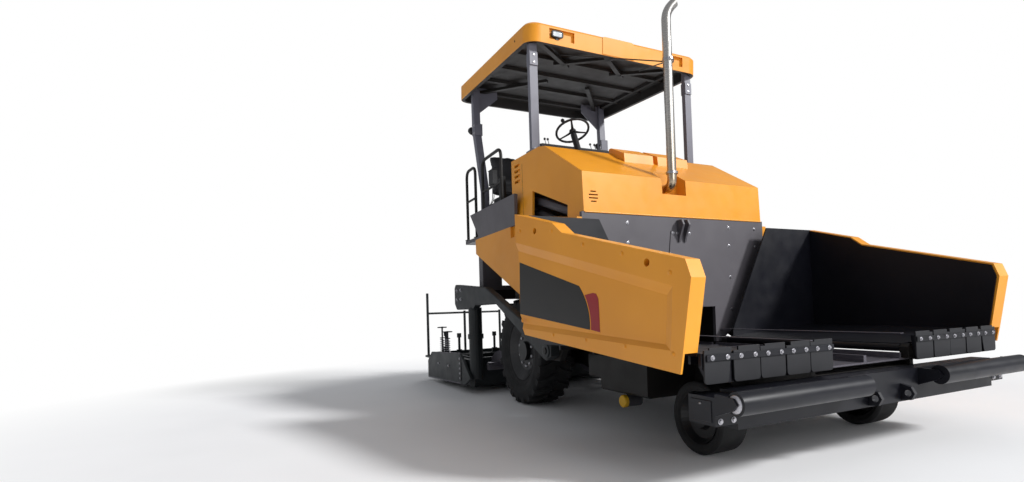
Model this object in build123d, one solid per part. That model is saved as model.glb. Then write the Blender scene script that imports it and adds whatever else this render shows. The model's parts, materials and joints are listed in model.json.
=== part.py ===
"""Wheeled asphalt paver, full size, in millimetres.

+X is forward (the hopper end), +Y is the machine's left and +Z is up. The ground is z = 0.
Sizes are set out from the rear axle at x = 0, and every node is then moved back by ORIGIN_X,
so that the part's own origin lies on the ground under the middle of its length.
"""
import os
from math import atan2, cos, degrees, pi, radians, sin, tau

from build123d import *

# ---- driving dimensions -------------------------------------------------------------------
GAP = 5.0             # running clearance between pieces that move past each other
FIT = 0.05            # radial clearance of a pin or shaft in its bore
SEAT = 0.3            # clearance between a tyre and its rim
WHEEL_SIDES = 40      # flats round a wheel
BAR_SIDES = 8         # flats round a thin tube or rod

# rear driving wheels, on the rear axle
REAR_R = 580.0        # over the lugs
REAR_LUG = 32.0       # lug height
REAR_LUGS = 20        # lugs in one row
REAR_OUT = 1117.0     # outer face of the tyre from the centre line
REAR_WIDTH = 400.0
REAR_RIM_R = 318.0
REAR_STUB_R = 60.0

# front steered wheels
FRONT_X = 2700.0
FRONT_R = 257.0
FRONT_OUT = 956.0
FRONT_WIDTH = 246.0
FRONT_RIM_R = 178.0
KINGPIN_Y = 640.0
KINGPIN_R = 35.0
SPINDLE_R = 40.0

# main frame
RAIL_IN, RAIL_OUT = 500.0, 540.0
RAIL_REAR = -1250.0
DECK_Z = 1300.0       # top of the high part of the rails, which carries engine and platform
SILL_Z = 600.0        # top of the low part of the rails, under the hopper
TUNNEL_Z = 1120.0     # roof of the conveyor tunnel
BELT_REAR, SLAT_PITCH = -640.0, 300.0
BACK_X = 1440.0       # rear face of the hopper's back wall
BACK_T = 40.0

# push rollers on the front beam
ROLLER_X, ROLLER_Z, ROLLER_R = 3570.0, 520.0, 63.0
ROLLER_IN, ROLLER_OUT = 385.0, 1440.0
ROLLER_SHAFT_R = 20.0
BEAM_FRONT = ROLLER_X - 130.0
BEAM_BACK = BEAM_FRONT - 130.0
BEAM_BOTTOM, BEAM_TOP = ROLLER_Z - 170.0, ROLLER_Z + 40.0
BEAM_OUT = ROLLER_OUT - 140.0
BEAM_WALL = 20.0
ARM_T = 16.0
EYE_R, EYE_T = 22.0, 25.0
EYE_X, EYE_Y, EYE_Z = BEAM_FRONT + 50.0, 160.0, BEAM_BOTTOM + 60.0

# hopper wings, whose outer walls run closer together towards the front
WING_REAR_X, WING_REAR_Y = 1600.0, 1782.0
WING_FRONT_X, WING_FRONT_Y = BEAM_FRONT - 24.0, 1605.0
WING_WALL = 110.0     # depth of the boxed outer wall
WING_LINER = 12.0     # liner plate on its inner face
WING_SKIN = 14.0      # single outer plate below the floor
WING_TOP_Z = 1805.0
FLOOR_T = 18.0
FLOOR_IN_Z, FLOOR_OUT_Z = 712.0, 778.0
HINGE_Y, HINGE_Z = 460.0, 680.0
HINGE_R, HINGE_PIN_R = 28.0, 18.0
APRON_X, APRON_T = WING_FRONT_X - 54.0, 22.0
APRON_BOTTOM = 602.0

# engine hood
HOOD_REAR, HOOD_FRONT = -20.0, 1480.0
HOOD_BACK_Y, HOOD_FRONT_Y = 1118.0, 1077.0
HOOD_SIDE_Z, HOOD_LIP_Z = 1836.0, 1886.0
HOOD_NOSE_Z, HOOD_CREASE_X, HOOD_CREASE_Z, HOOD_TOP_Z = 2248.0, 780.0, 2655.0, 2690.0
HOOD_T = 25.0
LOUVRES = ((-320.0, 40.0), (100.0, 500.0))      # air outlets either side of the exhaust

# side panels and grey side boxes beside the platform
PANEL_IN, PANEL_OUT = 1100.0, 1150.0
PLATFORM_Z, PLATFORM_T = 1960.0, 50.0
PLATFORM_REAR, PLATFORM_Y = -1760.0, 1090.0
BOX_REAR, BOX_FRONT = -1200.0, 260.0
BOX_LOW_Y, BOX_HIGH_Y, BOX_TOP_Z = 1150.0, 1215.0, 2270.0

# canopy
ROOF_FRONT, ROOF_REAR, ROOF_Y = 560.0, -1790.0, 1140.0
ROOF_Z = 3822.0       # underside of the rim at the front
ROOF_RISE = 150.0     # how much higher the rear edge is
ROOF_H, ROOF_WALL, ROOF_SKIN = 205.0, 45.0, 60.0
LAMP_Y = 740.0
POST_W, POST_D = 90.0, 60.0
POST_FRONT_X, POST_FRONT_Y = 440.0, 1040.0
POST_REAR_X, POST_REAR_Y = -1500.0, 1000.0

# exhaust, in a pocket cut into the hood's nose
STACK_X, STACK_Y, STACK_R, STACK_T = 1500.0, -100.0, 45.0, 3.0
STACK_LOW, STACK_HIGH, STACK_BEND, STACK_SIDES = 2165.0, 3870.0, 80.0, 16
NOTCH_Y0, NOTCH_Y1, POCKET_X = -200.0, 90.0, 1330.0

# screed, towed by two arms from the tow points
TOW_X, TOW_Z, TOW_PIN_R = 1090.0, 655.0, 30.0
ARM_IN, ARM_OUT = 1220.0, 1300.0
COLUMN_X, COLUMN_Y, COLUMN_R = -1040.0, 1240.0, 84.0
SCREED_FRONT, SCREED_REAR, SCREED_Y = -1180.0, -1900.0, 1220.0
SCREED_Z, SCREED_TOP = 60.0, 440.0
EXT_FRONT, EXT_REAR = -1930.0, -2720.0
EXT_OUT = 1335.0      # outer face of an extension when it is drawn in
GUIDE_X, GUIDE_Z, GUIDE_R = -1960.0, 340.0, 30.0
GUIDE_SLEEVE = 585.0  # outer end of the outer sleeve when drawn in
GATE_T = 30.0
WALK_REAR = -3240.0
AUGER_X, AUGER_Z, AUGER_R, AUGER_TUBE_R = -870.0, 350.0, 190.0, 50.0
AUGER_IN, AUGER_OUT, AUGER_PITCH = 70.0, 1150.0, 270.0
AUGER_PIN_R = 25.0

# driver's place
WHEEL_X, WHEEL_Y, WHEEL_Z, WHEEL_R = -150.0, -240.0, 3160.0, 200.0
COLUMN_TILT = 25.0    # degrees back from upright

FRONT_REACH = ROLLER_X + ROLLER_R
ORIGIN_X = (FRONT_REACH + WALK_REAR) / 2


# ---- helpers ------------------------------------------------------------------------------
def block(x0, x1, y0, y1, z0, z1):
    """A plain box between two corners."""
    return Pos((x0 + x1) / 2, (y0 + y1) / 2, (z0 + z1) / 2) * Box(x1 - x0, y1 - y0, z1 - z0)


def side_slab(points, y0, y1):
    """A side view outline (x, z), as thick as from y0 to y1."""
    face = Plane.XZ * make_face(Polyline(*points, close=True))
    return Pos(0, y1, 0) * extrude(face, y1 - y0)


def plan_slab(points, z0, z1):
    """A plan view outline (x, y), from z0 up to z1."""
    return Pos(0, 0, z0) * extrude(make_face(Polyline(*points, close=True)), z1 - z0)


def end_slab(points, x0, x1):
    """An end view outline (y, z), from x0 forward to x1."""
    return Pos(x0, 0, 0) * extrude(Plane.YZ * make_face(Polyline(*points, close=True)), x1 - x0)


def rod(start, end, radius):
    """A round bar between two points."""
    along = Vector(*end) - Vector(*start)
    return Solid.make_cylinder(radius, along.length, Plane(origin=start, z_dir=along))


def bar(start, end, radius, sides=BAR_SIDES):
    """A straight bar with flat sides between two points."""
    along = Vector(*end) - Vector(*start)
    return extrude(Plane(origin=start, z_dir=along) * RegularPolygon(radius, sides), along.length)


def turned(points, x, z):
    """A ring about a Y axis through (x, z), from its outline as (radius, y)."""
    outline = make_face(Polyline(*points, close=True))
    return Pos(x, 0, z) * revolve(Plane.XY * outline, Axis.Y, 360)


def ring(points, sides=WHEEL_SIDES):
    """A ring about the Y axis with flat sides, from its outline as (radius, y)."""
    turns = [(cos(tau * k / sides), sin(tau * k / sides)) for k in range(sides + 1)]
    faces = []
    for (r0, y0), (r1, y1) in zip(points, points[1:] + points[:1]):
        for (c0, s0), (c1, s1) in zip(turns, turns[1:]):
            corners = [(r0 * c0, y0, r0 * s0), (r1 * c0, y1, r1 * s0), (r1 * c1, y1, r1 * s1),
                       (r0 * c1, y0, r0 * s1)]
            corners = [c for k, c in enumerate(corners) if c != corners[k - 1]]
            if len(corners) > 2:
                faces.append(Face(Wire.make_polygon(corners)))
    return Solid(Shell(faces))


def cut_corners(points, cut):
    """A path along points in a side view plane, with each inner corner cut off."""
    path = [Vector(*point) for point in points]
    out = [path[0]]
    for before, corner, after in zip(path, path[1:], path[2:]):
        out += [corner + (before - corner).normalized() * cut, corner + (after - corner).normalized() * cut]
    return [tuple(point) for point in out + [path[-1]]]


def pipe(points, radius, cut, sides=BAR_SIDES):
    """A tube with flat sides along straight runs, with its corners cut and mitred."""
    path = Polyline(*cut_corners(points, cut))
    start = Plane(origin=path @ 0, z_dir=path % 0)
    return sweep(start * RegularPolygon(radius, sides), path=path, transition=Transition.RIGHT)


def left(shape):
    """The left-hand twin of a right-hand piece."""
    return mirror(shape, about=Plane.XZ)


def pair(shape):
    """A right-hand piece and its twin, as one node."""
    return Compound([*shape.solids(), *left(shape).solids()])


nodes = {}

# ---- frame, beam and axles ----------------------------------------------------------------
rail_outline = [
    (RAIL_REAR, 740), (RAIL_REAR, DECK_Z), (BACK_X, DECK_Z), (BACK_X, SILL_Z), (BEAM_BACK, SILL_Z),
    (BEAM_BACK, 380), (2300, 330), (900, 330), (420, 430), (-420, 430), (-620, 620), (-1060, 620),
    (-1100, 740),
]
rail = side_slab(rail_outline, -RAIL_OUT, -RAIL_IN)
cross_members = [  # x0, x1, z0, z1
    (-1240, -1150, 740, 860), (-620, -500, 460, 560), (380, 500, 450, 550), (1340, 1430, 380, 560),
    (2350, 2450, 380, 500), (BEAM_BACK - 130, BEAM_BACK - 20, 400, 560), (RAIL_REAR, BACK_X, TUNNEL_Z, TUNNEL_Z + 20),
    (200, 1300, DECK_Z - 90, DECK_Z), (-1240, -1100, DECK_Z - 120, DECK_Z),
]
frame = rail + left(rail)
for x0, x1, z0, z1 in cross_members:
    frame += block(x0, x1, -RAIL_IN, RAIL_IN, z0, z1)
for x0, x1, z0, z1 in [(-1200, -1080, 1180, DECK_Z), (-60, 60, 1180, DECK_Z), (1300, 1420, 1180, DECK_Z)]:
    frame += block(x0, x1, -PANEL_IN, PANEL_IN, z0, z1)
tow_plate = side_slab([(980, 560), (980, DECK_Z), (1300, DECK_Z), (1300, 700), (1190, 560)], -ARM_IN + GAP, -1160)
tow_plate += block(980, 1320, -1160, -RAIL_OUT, 1000, 1200)
tow_pin = rod((TOW_X, -ARM_OUT - 20, TOW_Z), (TOW_X, -1160, TOW_Z), TOW_PIN_R)
frame += tow_plate + left(tow_plate) + tow_pin + left(tow_pin)
nodes["chassis_frame"] = frame

side_tank = block(1360, 2230, -1010, -RAIL_OUT, 330, 640) - block(1360, 1560, -1010, -860, 330, 420)
side_tank = chamfer(side_tank.edges().filter_by(Axis.X), 18)
nodes["side_tanks"] = pair(side_tank)

beam = block(BEAM_BACK, BEAM_FRONT, -BEAM_OUT, BEAM_OUT, BEAM_BOTTOM, BEAM_TOP)
beam -= block(BEAM_BACK, BEAM_FRONT - BEAM_WALL, -BEAM_OUT + BEAM_WALL, BEAM_OUT - BEAM_WALL, BEAM_BOTTOM,
              BEAM_TOP - BEAM_WALL)
roller_arm = [
    (BEAM_FRONT, ROLLER_Z - 78), (BEAM_FRONT, ROLLER_Z + 40), (ROLLER_X, ROLLER_Z + 32),
    (ROLLER_X + 28, ROLLER_Z), (ROLLER_X, ROLLER_Z - 32),
]
for y_in in (ROLLER_IN - GAP, ROLLER_OUT + GAP + ARM_T):
    arm = side_slab(roller_arm, -y_in, -y_in + ARM_T)
    beam += arm + left(arm)
end_box = block(BEAM_BACK - 80, BEAM_FRONT, -ROLLER_OUT - GAP - ARM_T, -BEAM_OUT, 385, 540)
shaft_ends = [(ROLLER_X, -ROLLER_OUT - GAP - ARM_T, ROLLER_Z), (ROLLER_X, -ROLLER_IN + GAP + ARM_T, ROLLER_Z)]
roller_shaft = rod(*shaft_ends, ROLLER_SHAFT_R)
beam += end_box + left(end_box) + roller_shaft + left(roller_shaft)
eye = side_slab([(BEAM_FRONT, EYE_Z - 50), (BEAM_FRONT, EYE_Z + 60), (EYE_X + 20, EYE_Z + 42), (EYE_X + 44, EYE_Z),
                 (EYE_X + 20, EYE_Z - 42)], -EYE_Y - EYE_T, -EYE_Y)
eye -= rod((EYE_X, -EYE_Y - EYE_T - 1, EYE_Z), (EYE_X, -EYE_Y + 1, EYE_Z), EYE_R)
beam += eye + left(eye)
nodes["front_beam"] = beam

drive = bar((0, -690, REAR_R), (0, -RAIL_OUT, REAR_R), 165, 16)
drive += rod((0, -REAR_OUT + 190, REAR_R), (0, -690, REAR_R), REAR_STUB_R)
nodes["rear_axle"] = pair(drive)

front_axle = block(FRONT_X - 55, FRONT_X + 55, -KINGPIN_Y, KINGPIN_Y, 205, 310)
front_axle += block(FRONT_X - 90, FRONT_X + 90, -RAIL_OUT, RAIL_OUT, 310, 345)
for y in (-KINGPIN_Y, KINGPIN_Y):
    front_axle += bar((FRONT_X, y, 190), (FRONT_X, y, 325), 60, 12)
    front_axle -= rod((FRONT_X, y, 180), (FRONT_X, y, 335), KINGPIN_R + FIT)
front_axle -= block(FRONT_X - 90, FRONT_X + 90, -KINGPIN_Y - 70, -KINGPIN_Y + 66, 325, 345)
front_axle -= block(FRONT_X - 90, FRONT_X + 90, KINGPIN_Y - 66, KINGPIN_Y + 70, 325, 345)
for y in (-RAIL_IN - 20, RAIL_IN + 20):
    front_axle += block(FRONT_X - 70, FRONT_X + 70, y - 20, y + 20, 340, 345)
nodes["front_axle"] = front_axle

# ---- wheels -------------------------------------------------------------------------------
rear_in = REAR_OUT - REAR_WIDTH
tyre_body_r = REAR_R - REAR_LUG
tyre_outline = [
    (REAR_RIM_R + SEAT, -REAR_OUT + 45), (REAR_RIM_R + SEAT, -rear_in - 45), (450, -rear_in),
    (tyre_body_r, -rear_in - 60), (tyre_body_r, -REAR_OUT + 60), (450, -REAR_OUT),
]
rear_tyre = Pos(0, 0, REAR_R) * ring(tyre_outline)
lug_half = REAR_WIDTH / 2 - 12
lug = plan_slab([(-34, 0), (-14, lug_half), (26, lug_half), (14, 0)], 0, REAR_LUG + 10)
for row in (0, 1):
    for k in range(REAR_LUGS):
        angle = 360 / REAR_LUGS * (k + row / 2)
        one = Pos(0, 0, tyre_body_r - 10) * (mirror(lug, about=Plane.XZ) if row else lug)
        rear_tyre += Pos(0, -(REAR_OUT + rear_in) / 2, REAR_R) * Rot(0, angle, 0) * one
rear_tyre = rear_tyre.solids().sort_by(SortBy.VOLUME)[-1]
rim_outline = [
    (REAR_RIM_R, -rear_in - 48), (REAR_RIM_R - 16, -rear_in - 48), (REAR_RIM_R - 16, -REAR_OUT + 82),
    (220, -REAR_OUT + 120), (110, -REAR_OUT + 120), (110, -690), (REAR_STUB_R / 2, -690),
    (REAR_STUB_R / 2, -REAR_OUT + 60), (105, -REAR_OUT + 60), (105, -REAR_OUT + 102), (212, -REAR_OUT + 102),
    (REAR_RIM_R, -REAR_OUT + 40),
]
rear_rim = ring(rim_outline) + rod((0, -REAR_OUT + 60, 0), (0, -690, 0), REAR_STUB_R / 2 + 1)
rear_rim -= rod((0, -REAR_OUT + 190 - 1, 0), (0, -600, 0), REAR_STUB_R + FIT)
rear_rim = Pos(0, 0, REAR_R) * rear_rim

front_in = FRONT_OUT - FRONT_WIDTH
front_tyre = Pos(FRONT_X, 0, FRONT_R) * ring([
    (FRONT_RIM_R + SEAT, -FRONT_OUT + 14), (FRONT_RIM_R + SEAT, -front_in - 14), (FRONT_R - 30, -front_in),
    (FRONT_R, -front_in - 30), (FRONT_R, -FRONT_OUT + 30), (FRONT_R - 30, -FRONT_OUT),
])
front_rim = ring([
    (30, -FRONT_OUT + 28), (70, -FRONT_OUT + 28), (88, -FRONT_OUT + 60), (145, -FRONT_OUT + 60),
    (FRONT_RIM_R, -FRONT_OUT + 16), (FRONT_RIM_R, -front_in - 16), (FRONT_RIM_R - 20, -FRONT_OUT + 80),
    (75, -FRONT_OUT + 80), (75, -FRONT_OUT + 150), (30, -FRONT_OUT + 150),
])
front_rim += rod((0, -FRONT_OUT + 28, 0), (0, -FRONT_OUT + 150, 0), 32)
front_rim -= rod((0, -FRONT_OUT + 60, 0), (0, -FRONT_OUT + 160, 0), SPINDLE_R + FIT)
front_rim = Pos(FRONT_X, 0, FRONT_R) * front_rim
upright_y = KINGPIN_Y + 60 + GAP
knuckle = rod((FRONT_X, -KINGPIN_Y, 150), (FRONT_X, -KINGPIN_Y, 365), KINGPIN_R)
for z0, z1 in [(150, 190 - GAP), (325 + GAP, 365)]:
    knuckle += block(FRONT_X - 45, FRONT_X + 45, -upright_y - 30, -KINGPIN_Y, z0, z1)
    knuckle += bar((FRONT_X, -KINGPIN_Y, z0), (FRONT_X, -KINGPIN_Y, z1), 45)
knuckle += block(FRONT_X - 45, FRONT_X + 45, -upright_y - 30, -upright_y, 150, 365)
knuckle += rod((FRONT_X, -upright_y, FRONT_R), (FRONT_X, -FRONT_OUT + 62, FRONT_R), SPINDLE_R)

for side, turn in (("right", lambda s: s), ("left", left)):
    nodes[f"rear_tyre_{side}"] = turn(rear_tyre)
    nodes[f"rear_rim_{side}"] = turn(rear_rim)
    nodes[f"front_tyre_{side}"] = turn(front_tyre)
    nodes[f"front_rim_{side}"] = turn(front_rim)
    nodes[f"steering_knuckle_{side}"] = turn(knuckle)

# ---- push rollers -------------------------------------------------------------------------
roller = turned([
    (ROLLER_SHAFT_R + FIT, -ROLLER_OUT), (ROLLER_R, -ROLLER_OUT), (ROLLER_R, -ROLLER_IN),
    (ROLLER_SHAFT_R + FIT, -ROLLER_IN),
], ROLLER_X, ROLLER_Z)
nodes["push_roller_right"] = roller
nodes["push_roller_left"] = left(roller)

# ---- hopper -------------------------------------------------------------------------------
wall_outline = [(-PANEL_IN, 1120), (-PANEL_IN, HOOD_LIP_Z), (PANEL_IN, HOOD_LIP_Z), (PANEL_IN, 1120),
                (430, 640), (-430, 640)]
back_wall = end_slab(wall_outline, BACK_X, BACK_X + BACK_T)
back_wall -= block(BACK_X, BACK_X + BACK_T, -400, 400, 600, 1010)
back_wall -= block(BACK_X, BACK_X + BACK_T, -RAIL_OUT, RAIL_OUT, 600, SILL_Z + 60)
flap_outline = [(-190, 1240), (-125, 1745), (125, 1745), (190, 1240)]
back_wall += end_slab(flap_outline, BACK_X + BACK_T, BACK_X + BACK_T + 8)
for y in (-45, 25):
    hook = side_slab([(0, 1640), (0, 1850), (70, 1850), (95, 1800), (40, 1690), (22, 1640)], y, y + 20)
    back_wall += Pos(BACK_X + BACK_T, 0, 0) * hook
nodes["hopper_back_wall"] = back_wall

belt_z = SILL_Z + 12
conveyor = block(BELT_REAR, BEAM_BACK, -RAIL_IN + GAP, RAIL_IN - GAP, SILL_Z, belt_z)
for x0, x1 in ((BELT_REAR, BACK_X - GAP), (BACK_X + BACK_T + GAP, BEAM_BACK)):
    conveyor += block(x0, x1, -14, 14, belt_z, belt_z + 46)
    for y in (-400, 380):
        conveyor += block(x0, x1, y, y + 20, belt_z, belt_z + 40)
for k in range(int((BEAM_BACK - BELT_REAR - 60) / SLAT_PITCH)):
    x = BELT_REAR + 40 + k * SLAT_PITCH
    for y in (-370, 40):
        conveyor += block(x, x + 40, y, y + 330, belt_z, belt_z + 22)
nodes["conveyor"] = conveyor

hinge_ends = []
hinge_rear, hinge_front, lug_t = BACK_X + 80, BEAM_BACK - 28, 60
lug_outline = [
    (-HINGE_Y - 45, SILL_Z), (-HINGE_Y - 45, HINGE_Z + 20), (-HINGE_Y, HINGE_Z + 34), (-HINGE_Y + 30, HINGE_Z + 10),
    (-HINGE_Y + 30, belt_z + 1), (-RAIL_IN + GAP, belt_z + 1), (-RAIL_IN + GAP, SILL_Z),
]
for x0 in (hinge_rear, hinge_front):
    hinge_ends.append(end_slab(lug_outline, x0, x0 + lug_t))
hinge_pin = rod((hinge_rear, -HINGE_Y, HINGE_Z), (hinge_front + lug_t, -HINGE_Y, HINGE_Z), HINGE_PIN_R)
hinges = hinge_ends[0] + hinge_ends[1] + hinge_pin
nodes["chassis_frame"] += hinges + left(hinges)

taper = atan2(WING_REAR_Y - WING_FRONT_Y, WING_FRONT_X - WING_REAR_X)
wing_plane = Plane(origin=(WING_REAR_X, -WING_REAR_Y, 0), x_dir=(cos(taper), sin(taper), 0),
                   z_dir=(sin(taper), -cos(taper), 0))


def on_wing(points):
    """Side view points (x, z), as points in the plane of the wing's outer skin."""
    return [((x - WING_REAR_X) / cos(taper), z) for x, z in points]


wing_outline = [
    (1693, 842), (1585, 1005), (1585, WING_TOP_Z), (2134, 1657), (2257, 1570), (WING_FRONT_X + 2, 1281),
    (WING_FRONT_X + 40, 1181), (WING_FRONT_X - 40, 777), (WING_FRONT_X - 64, 668),
]
floor_line = [(1400, FLOOR_OUT_Z), (3600, FLOOR_OUT_Z), (3600, 500), (1400, 500)]
wing_face = wing_plane * make_face(Polyline(*on_wing(wing_outline), close=True))
shell = extrude(wing_face, -WING_WALL)
inner_plane = wing_plane.offset(-WING_SKIN)
shell -= extrude(inner_plane * make_face(Polyline(*on_wing(floor_line), close=True)), -WING_WALL)
field_top = [(1500, 1602), (WING_FRONT_X - 94, 1146), (WING_FRONT_X - 126, 790), (1500, 900)]
field_low = [(1500, 1532), (WING_FRONT_X - 164, 1094), (WING_FRONT_X - 190, 822), (1500, 940)]
field = loft([wing_plane.offset(1) * make_face(Polyline(*on_wing(field_top), close=True)),
              wing_plane.offset(-24) * make_face(Polyline(*on_wing(field_low), close=True))])
shell -= field
for x, z in ((1888, 1631), (WING_FRONT_X - 296, 1286)):
    hole = wing_plane.offset(1) * Pos(*on_wing([(x, z)])[0]) * RegularPolygon(24, 12)
    shell -= extrude(hole, -WING_WALL - 2)

liner_outline = [
    (1620, FLOOR_OUT_Z - 14), (1620, WING_TOP_Z - 14), (2134, 1645), (2257, 1558), (WING_FRONT_X - 11, 1272),
    (WING_FRONT_X + 22, 1181), (APRON_X, FLOOR_OUT_Z - 14),
]
liner_plane = wing_plane.offset(-WING_WALL)
liner_face = liner_plane * make_face(Polyline(*on_wing(liner_outline), close=True))
liner = extrude(liner_face, -WING_LINER)
floor_slope = (FLOOR_OUT_Z - FLOOR_IN_Z) / 1100
floor_y = WING_REAR_Y + 40
floor_end_z = FLOOR_IN_Z + floor_slope * (floor_y - HINGE_Y)
floor = end_slab([(-HINGE_Y, FLOOR_IN_Z), (-floor_y, floor_end_z), (-floor_y, floor_end_z - FLOOR_T),
                  (-HINGE_Y, FLOOR_IN_Z - FLOOR_T)], 1605, APRON_X)
wall_line = on_wing([(1300, 0), (3700, 0)])
edge = [(wing_plane.offset(-WING_WALL).from_local_coords((s, 0, 0))) for s, _ in wall_line]
floor &= plan_slab([(edge[0].X, edge[0].Y), (edge[1].X, edge[1].Y), (edge[1].X, -HINGE_Y), (edge[0].X, -HINGE_Y)],
                   600, 900)
rear_gate = end_slab([(-HINGE_Y - 30, FLOOR_IN_Z), (-HINGE_Y - 30, FLOOR_IN_Z + 60), (-1010, WING_TOP_Z - 8),
                      (-1760, WING_TOP_Z - 8), (-1760, FLOOR_OUT_Z)], 1605, 1620)
rear_gate &= plan_slab([(edge[0].X, edge[0].Y), (edge[1].X, edge[1].Y), (edge[1].X, 0), (edge[0].X, 0)], 600, 1900)
barrel_x0, barrel_x1 = hinge_rear + lug_t + GAP, hinge_front - GAP
apron_outline = [(-HINGE_Y - 10, APRON_BOTTOM), (-HINGE_Y + 25, 772), (-1494, 772), (-1494, 700),
                 (-1440, APRON_BOTTOM)]
apron = end_slab(apron_outline, APRON_X, APRON_X + APRON_T)
liner += floor + rear_gate + apron
liner += bar((barrel_x0, -HINGE_Y, HINGE_Z), (barrel_x1, -HINGE_Y, HINGE_Z), HINGE_R, 12)
gusset_outline = [(-HINGE_Y, 665), (-HINGE_Y, FLOOR_IN_Z - 8), (-1440, 752), (-1440, 700)]
for k in range(4):
    x = barrel_x0 + 50 + k * (barrel_x1 - barrel_x0 - 100) / 3
    liner += end_slab(gusset_outline, x - 10, x + 10)
liner -= rod((barrel_x0 - 80, -HINGE_Y, HINGE_Z), (barrel_x1 + 80, -HINGE_Y, HINGE_Z), HINGE_PIN_R + FIT)
liner -= bar((barrel_x1, -HINGE_Y, HINGE_Z), (hinge_front + lug_t + GAP, -HINGE_Y, HINGE_Z), 100, 12)
liner -= shell
for side, turn in (("right", lambda s: s), ("left", left)):
    nodes[f"wing_shell_{side}"] = turn(shell)
    nodes[f"wing_liner_{side}"] = turn(liner)

# ---- hood, engine and exhaust -------------------------------------------------------------
hood_outline = [
    (HOOD_REAR, HOOD_SIDE_Z), (HOOD_REAR, HOOD_TOP_Z), (HOOD_CREASE_X - 130, HOOD_TOP_Z - 8),
    (HOOD_CREASE_X, HOOD_CREASE_Z), (HOOD_FRONT - 14, HOOD_NOSE_Z), (HOOD_FRONT, HOOD_LIP_Z),
    (HOOD_FRONT - 45, HOOD_LIP_Z), (HOOD_FRONT - 60, HOOD_SIDE_Z),
]
hood_in = [
    (HOOD_REAR + HOOD_T, HOOD_SIDE_Z - 5), (HOOD_REAR + HOOD_T, HOOD_TOP_Z - HOOD_T),
    (HOOD_CREASE_X - 135, HOOD_TOP_Z - 8 - HOOD_T), (HOOD_CREASE_X - 12, HOOD_CREASE_Z - HOOD_T),
    (HOOD_FRONT - 14 - HOOD_T, HOOD_NOSE_Z - 16), (HOOD_FRONT - HOOD_T, HOOD_SIDE_Z - 5),
]


def hood_plan(inset):
    """The hood's plan view, drawn in by inset."""
    back, front = HOOD_BACK_Y - inset, HOOD_FRONT_Y - inset
    return plan_slab([(HOOD_REAR, -back), (HOOD_REAR, back), (HOOD_FRONT, front), (HOOD_FRONT, -front)], 1500, 2800)


hood = side_slab(hood_outline, -HOOD_BACK_Y, HOOD_BACK_Y) & hood_plan(0)
hood -= side_slab(hood_in, -HOOD_BACK_Y, HOOD_BACK_Y) & hood_plan(HOOD_T)
window = side_slab([(484, 2264), (1198, 1992), (1190, 1880), (465, 2006)], -1200, 1200)
hood -= window
notch = side_slab([(POCKET_X, 2084), (POCKET_X, 2420), (HOOD_FRONT + 60, 2420), (HOOD_FRONT + 60, 2105)],
                  NOTCH_Y0, NOTCH_Y1)
hood -= notch
pocket = block(POCKET_X - 20, POCKET_X, NOTCH_Y0 - 20, NOTCH_Y1 + 20, 2060, 2322)
pocket += block(POCKET_X, HOOD_FRONT - HOOD_T, NOTCH_Y0 - 20, NOTCH_Y1 + 20, 2060, 2084)
for y in (NOTCH_Y0 - 20, NOTCH_Y1):
    cheek = [(POCKET_X, 2060), (POCKET_X, 2300), (HOOD_FRONT - 42, 2238), (HOOD_FRONT - 24, 2060)]
    pocket += side_slab(cheek, y, y + 20)
hood += pocket
for k in range(4):
    for side_y in (-1, 1):
        hood -= block(55, 195, side_y * 1150 - 60, side_y * 1150 + 60, 2420 + 58 * k, 2450 + 58 * k)
for k, half in enumerate((30, 48, 48, 30)):
    hood -= block(HOOD_FRONT - 60, HOOD_FRONT + 10, -970 - half, -970 + half, 1975 + 30 * k, 1987 + 30 * k)
for y0, y1 in LOUVRES:
    outlet = side_slab([(HOOD_CREASE_X - 30, 2620), (HOOD_CREASE_X - 30, 2705), (HOOD_CREASE_X + 10, 2708),
                        (HOOD_CREASE_X + 250, 2596), (HOOD_CREASE_X + 262, 2470)], y0, y1)
    for k in range(6):
        slot_x = HOOD_CREASE_X + 30 + 34 * k
        outlet -= side_slab([(slot_x, 2730), (slot_x + 16, 2730), (slot_x - 14, 2500), (slot_x - 30, 2500)],
                            y0 + 18, y1 - 18) - side_slab(hood_outline, y0, y1)
    hood += outlet - side_slab(hood_in, y0 - 1, y1 + 1)
nodes["hood"] = hood

nodes["engine_block"] = block(260, 1250, -380, 380, DECK_Z, 1830)
nodes["cooling_pack"] = block(30, 210, -1010, 1010, DECK_Z, 2380)
hose_y = -965
air_path = [(210, hose_y, 2200), (340, hose_y, 2200), (1090, hose_y, 1950), (1180, -700, 1760), (1180, -380, 1760)]
water_path = [(210, hose_y, 2065), (340, hose_y, 2065), (860, hose_y, 1885), (940, -700, 1650), (940, -380, 1650)]
air_pipe, water_pipe = pipe(air_path, 48, 40), pipe(water_path, 36, 40)
nodes["cooler_pipes"] = Compound([*air_pipe.solids(), *water_pipe.solids()])

stack_path = [(POCKET_X, STACK_Y, STACK_LOW), (STACK_X, STACK_Y, STACK_LOW), (STACK_X, STACK_Y, STACK_HIGH),
              (STACK_X + 20, STACK_Y + 90, STACK_HIGH + 100)]
stack = pipe(stack_path, STACK_R, STACK_BEND / 2, STACK_SIDES)
stack_bore = pipe(stack_path, STACK_R - STACK_T, STACK_BEND / 2, STACK_SIDES)
nodes["exhaust_stack"] = stack - stack_bore

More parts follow.
